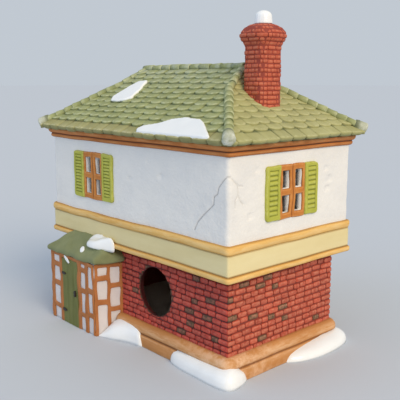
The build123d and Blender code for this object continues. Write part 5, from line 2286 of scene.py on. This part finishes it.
@dataclass
class Studio:
    """A pale floor, soft lights and the camera at the photograph's angle."""

    camera_place: Point3 = (-300.87, 265.35, 154.18)
    camera_aim: Point3 = (0.7293, -0.6604, -0.1789)
    lens: float = 58.22
    sensor: float = 36.0
    floor_half: float = 30000.0
    floor_colour: str = "#C6CDD6"
    surround: str = "#E1EAF4"
    surround_strength: float = 0.71
    lamps: tuple[SoftLamp, ...] = (SoftLamp("key", (-0.82, 0.15, 0.55), 36.0, 2.12, "#FFEACC"),
                                   SoftLamp("fill", (0.30, 0.86, 0.42), 60.0, 0.46, "#AED0FF"))

    def build(self) -> None:
        """Set the floor, the camera and the lights."""
        self._floor()
        self._camera()
        for lamp in self.lamps:
            lamp.build()
        self._world()
        bpy.context.scene.view_settings.view_transform = "Standard"

    def _floor(self) -> None:
        """A wide matt sheet of paper: no shine, so that only soft shadows show on it."""
        half = self.floor_half * MM
        mesh = bpy.data.meshes.new("floor")
        mesh.from_pydata([(-half, -half, 0), (half, -half, 0), (half, half, 0), (-half, half, 0)], [],
                         [(0, 1, 2, 3)])
        floor = place_object("floor", mesh)
        sheet = bpy.data.materials.new("matt paper sheet")
        sheet.use_nodes = True
        shader = sheet.node_tree.nodes["Principled BSDF"]
        look = {"Base Color": linear(self.floor_colour), "Roughness": 0.9, "Specular IOR Level": 0.0}
        for socket, value in look.items():
            shader.inputs[socket].default_value = value
        mesh.materials.append(sheet)

    def _camera(self) -> None:
        """The camera where the photograph was taken from."""
        lens = bpy.data.cameras.new("camera")
        lens.lens = self.lens
        lens.sensor_width = self.sensor
        lens.clip_start = 0.01
        camera = place_object("camera", lens)
        camera.location = Vector(self.camera_place) * MM
        camera.rotation_euler = Vector(self.camera_aim).to_track_quat("-Z", "Y").to_euler()
        bpy.context.scene.camera = camera

    def _world(self) -> None:
        """An even pale surround."""
        world = bpy.data.worlds.new("surround")
        world.use_nodes = True
        bpy.context.scene.world = world
        back = world.node_tree.nodes["Background"]
        back.inputs["Color"].default_value = linear(self.surround)
        back.inputs["Strength"].default_value = self.surround_strength


def main() -> None:
    """Build the house piece by piece, then the studio."""
    logging.basicConfig(level=logging.INFO, format="%(message)s")
    wall_bricks = Brickwork()
    stack_bricks = Brickwork(course=2.4, brick_length=4.9, joint=0.36, relief=0.28, corner_round=0.7,
                             sway=0.25, seed=61)
    for assembly in (BrickStorey(wall_bricks), PlasterStorey(), Mouldings(), Windows(), DoorsAndPorch(),
                     TiledRoof(), Chimney(stack_bricks), SnowCover()):
        LOG.info("building %s", type(assembly).__name__)
        assembly.build()
    paint_node("floor_plate", BISQUE)
    Studio().build()


if __name__ == "__main__":
    main()
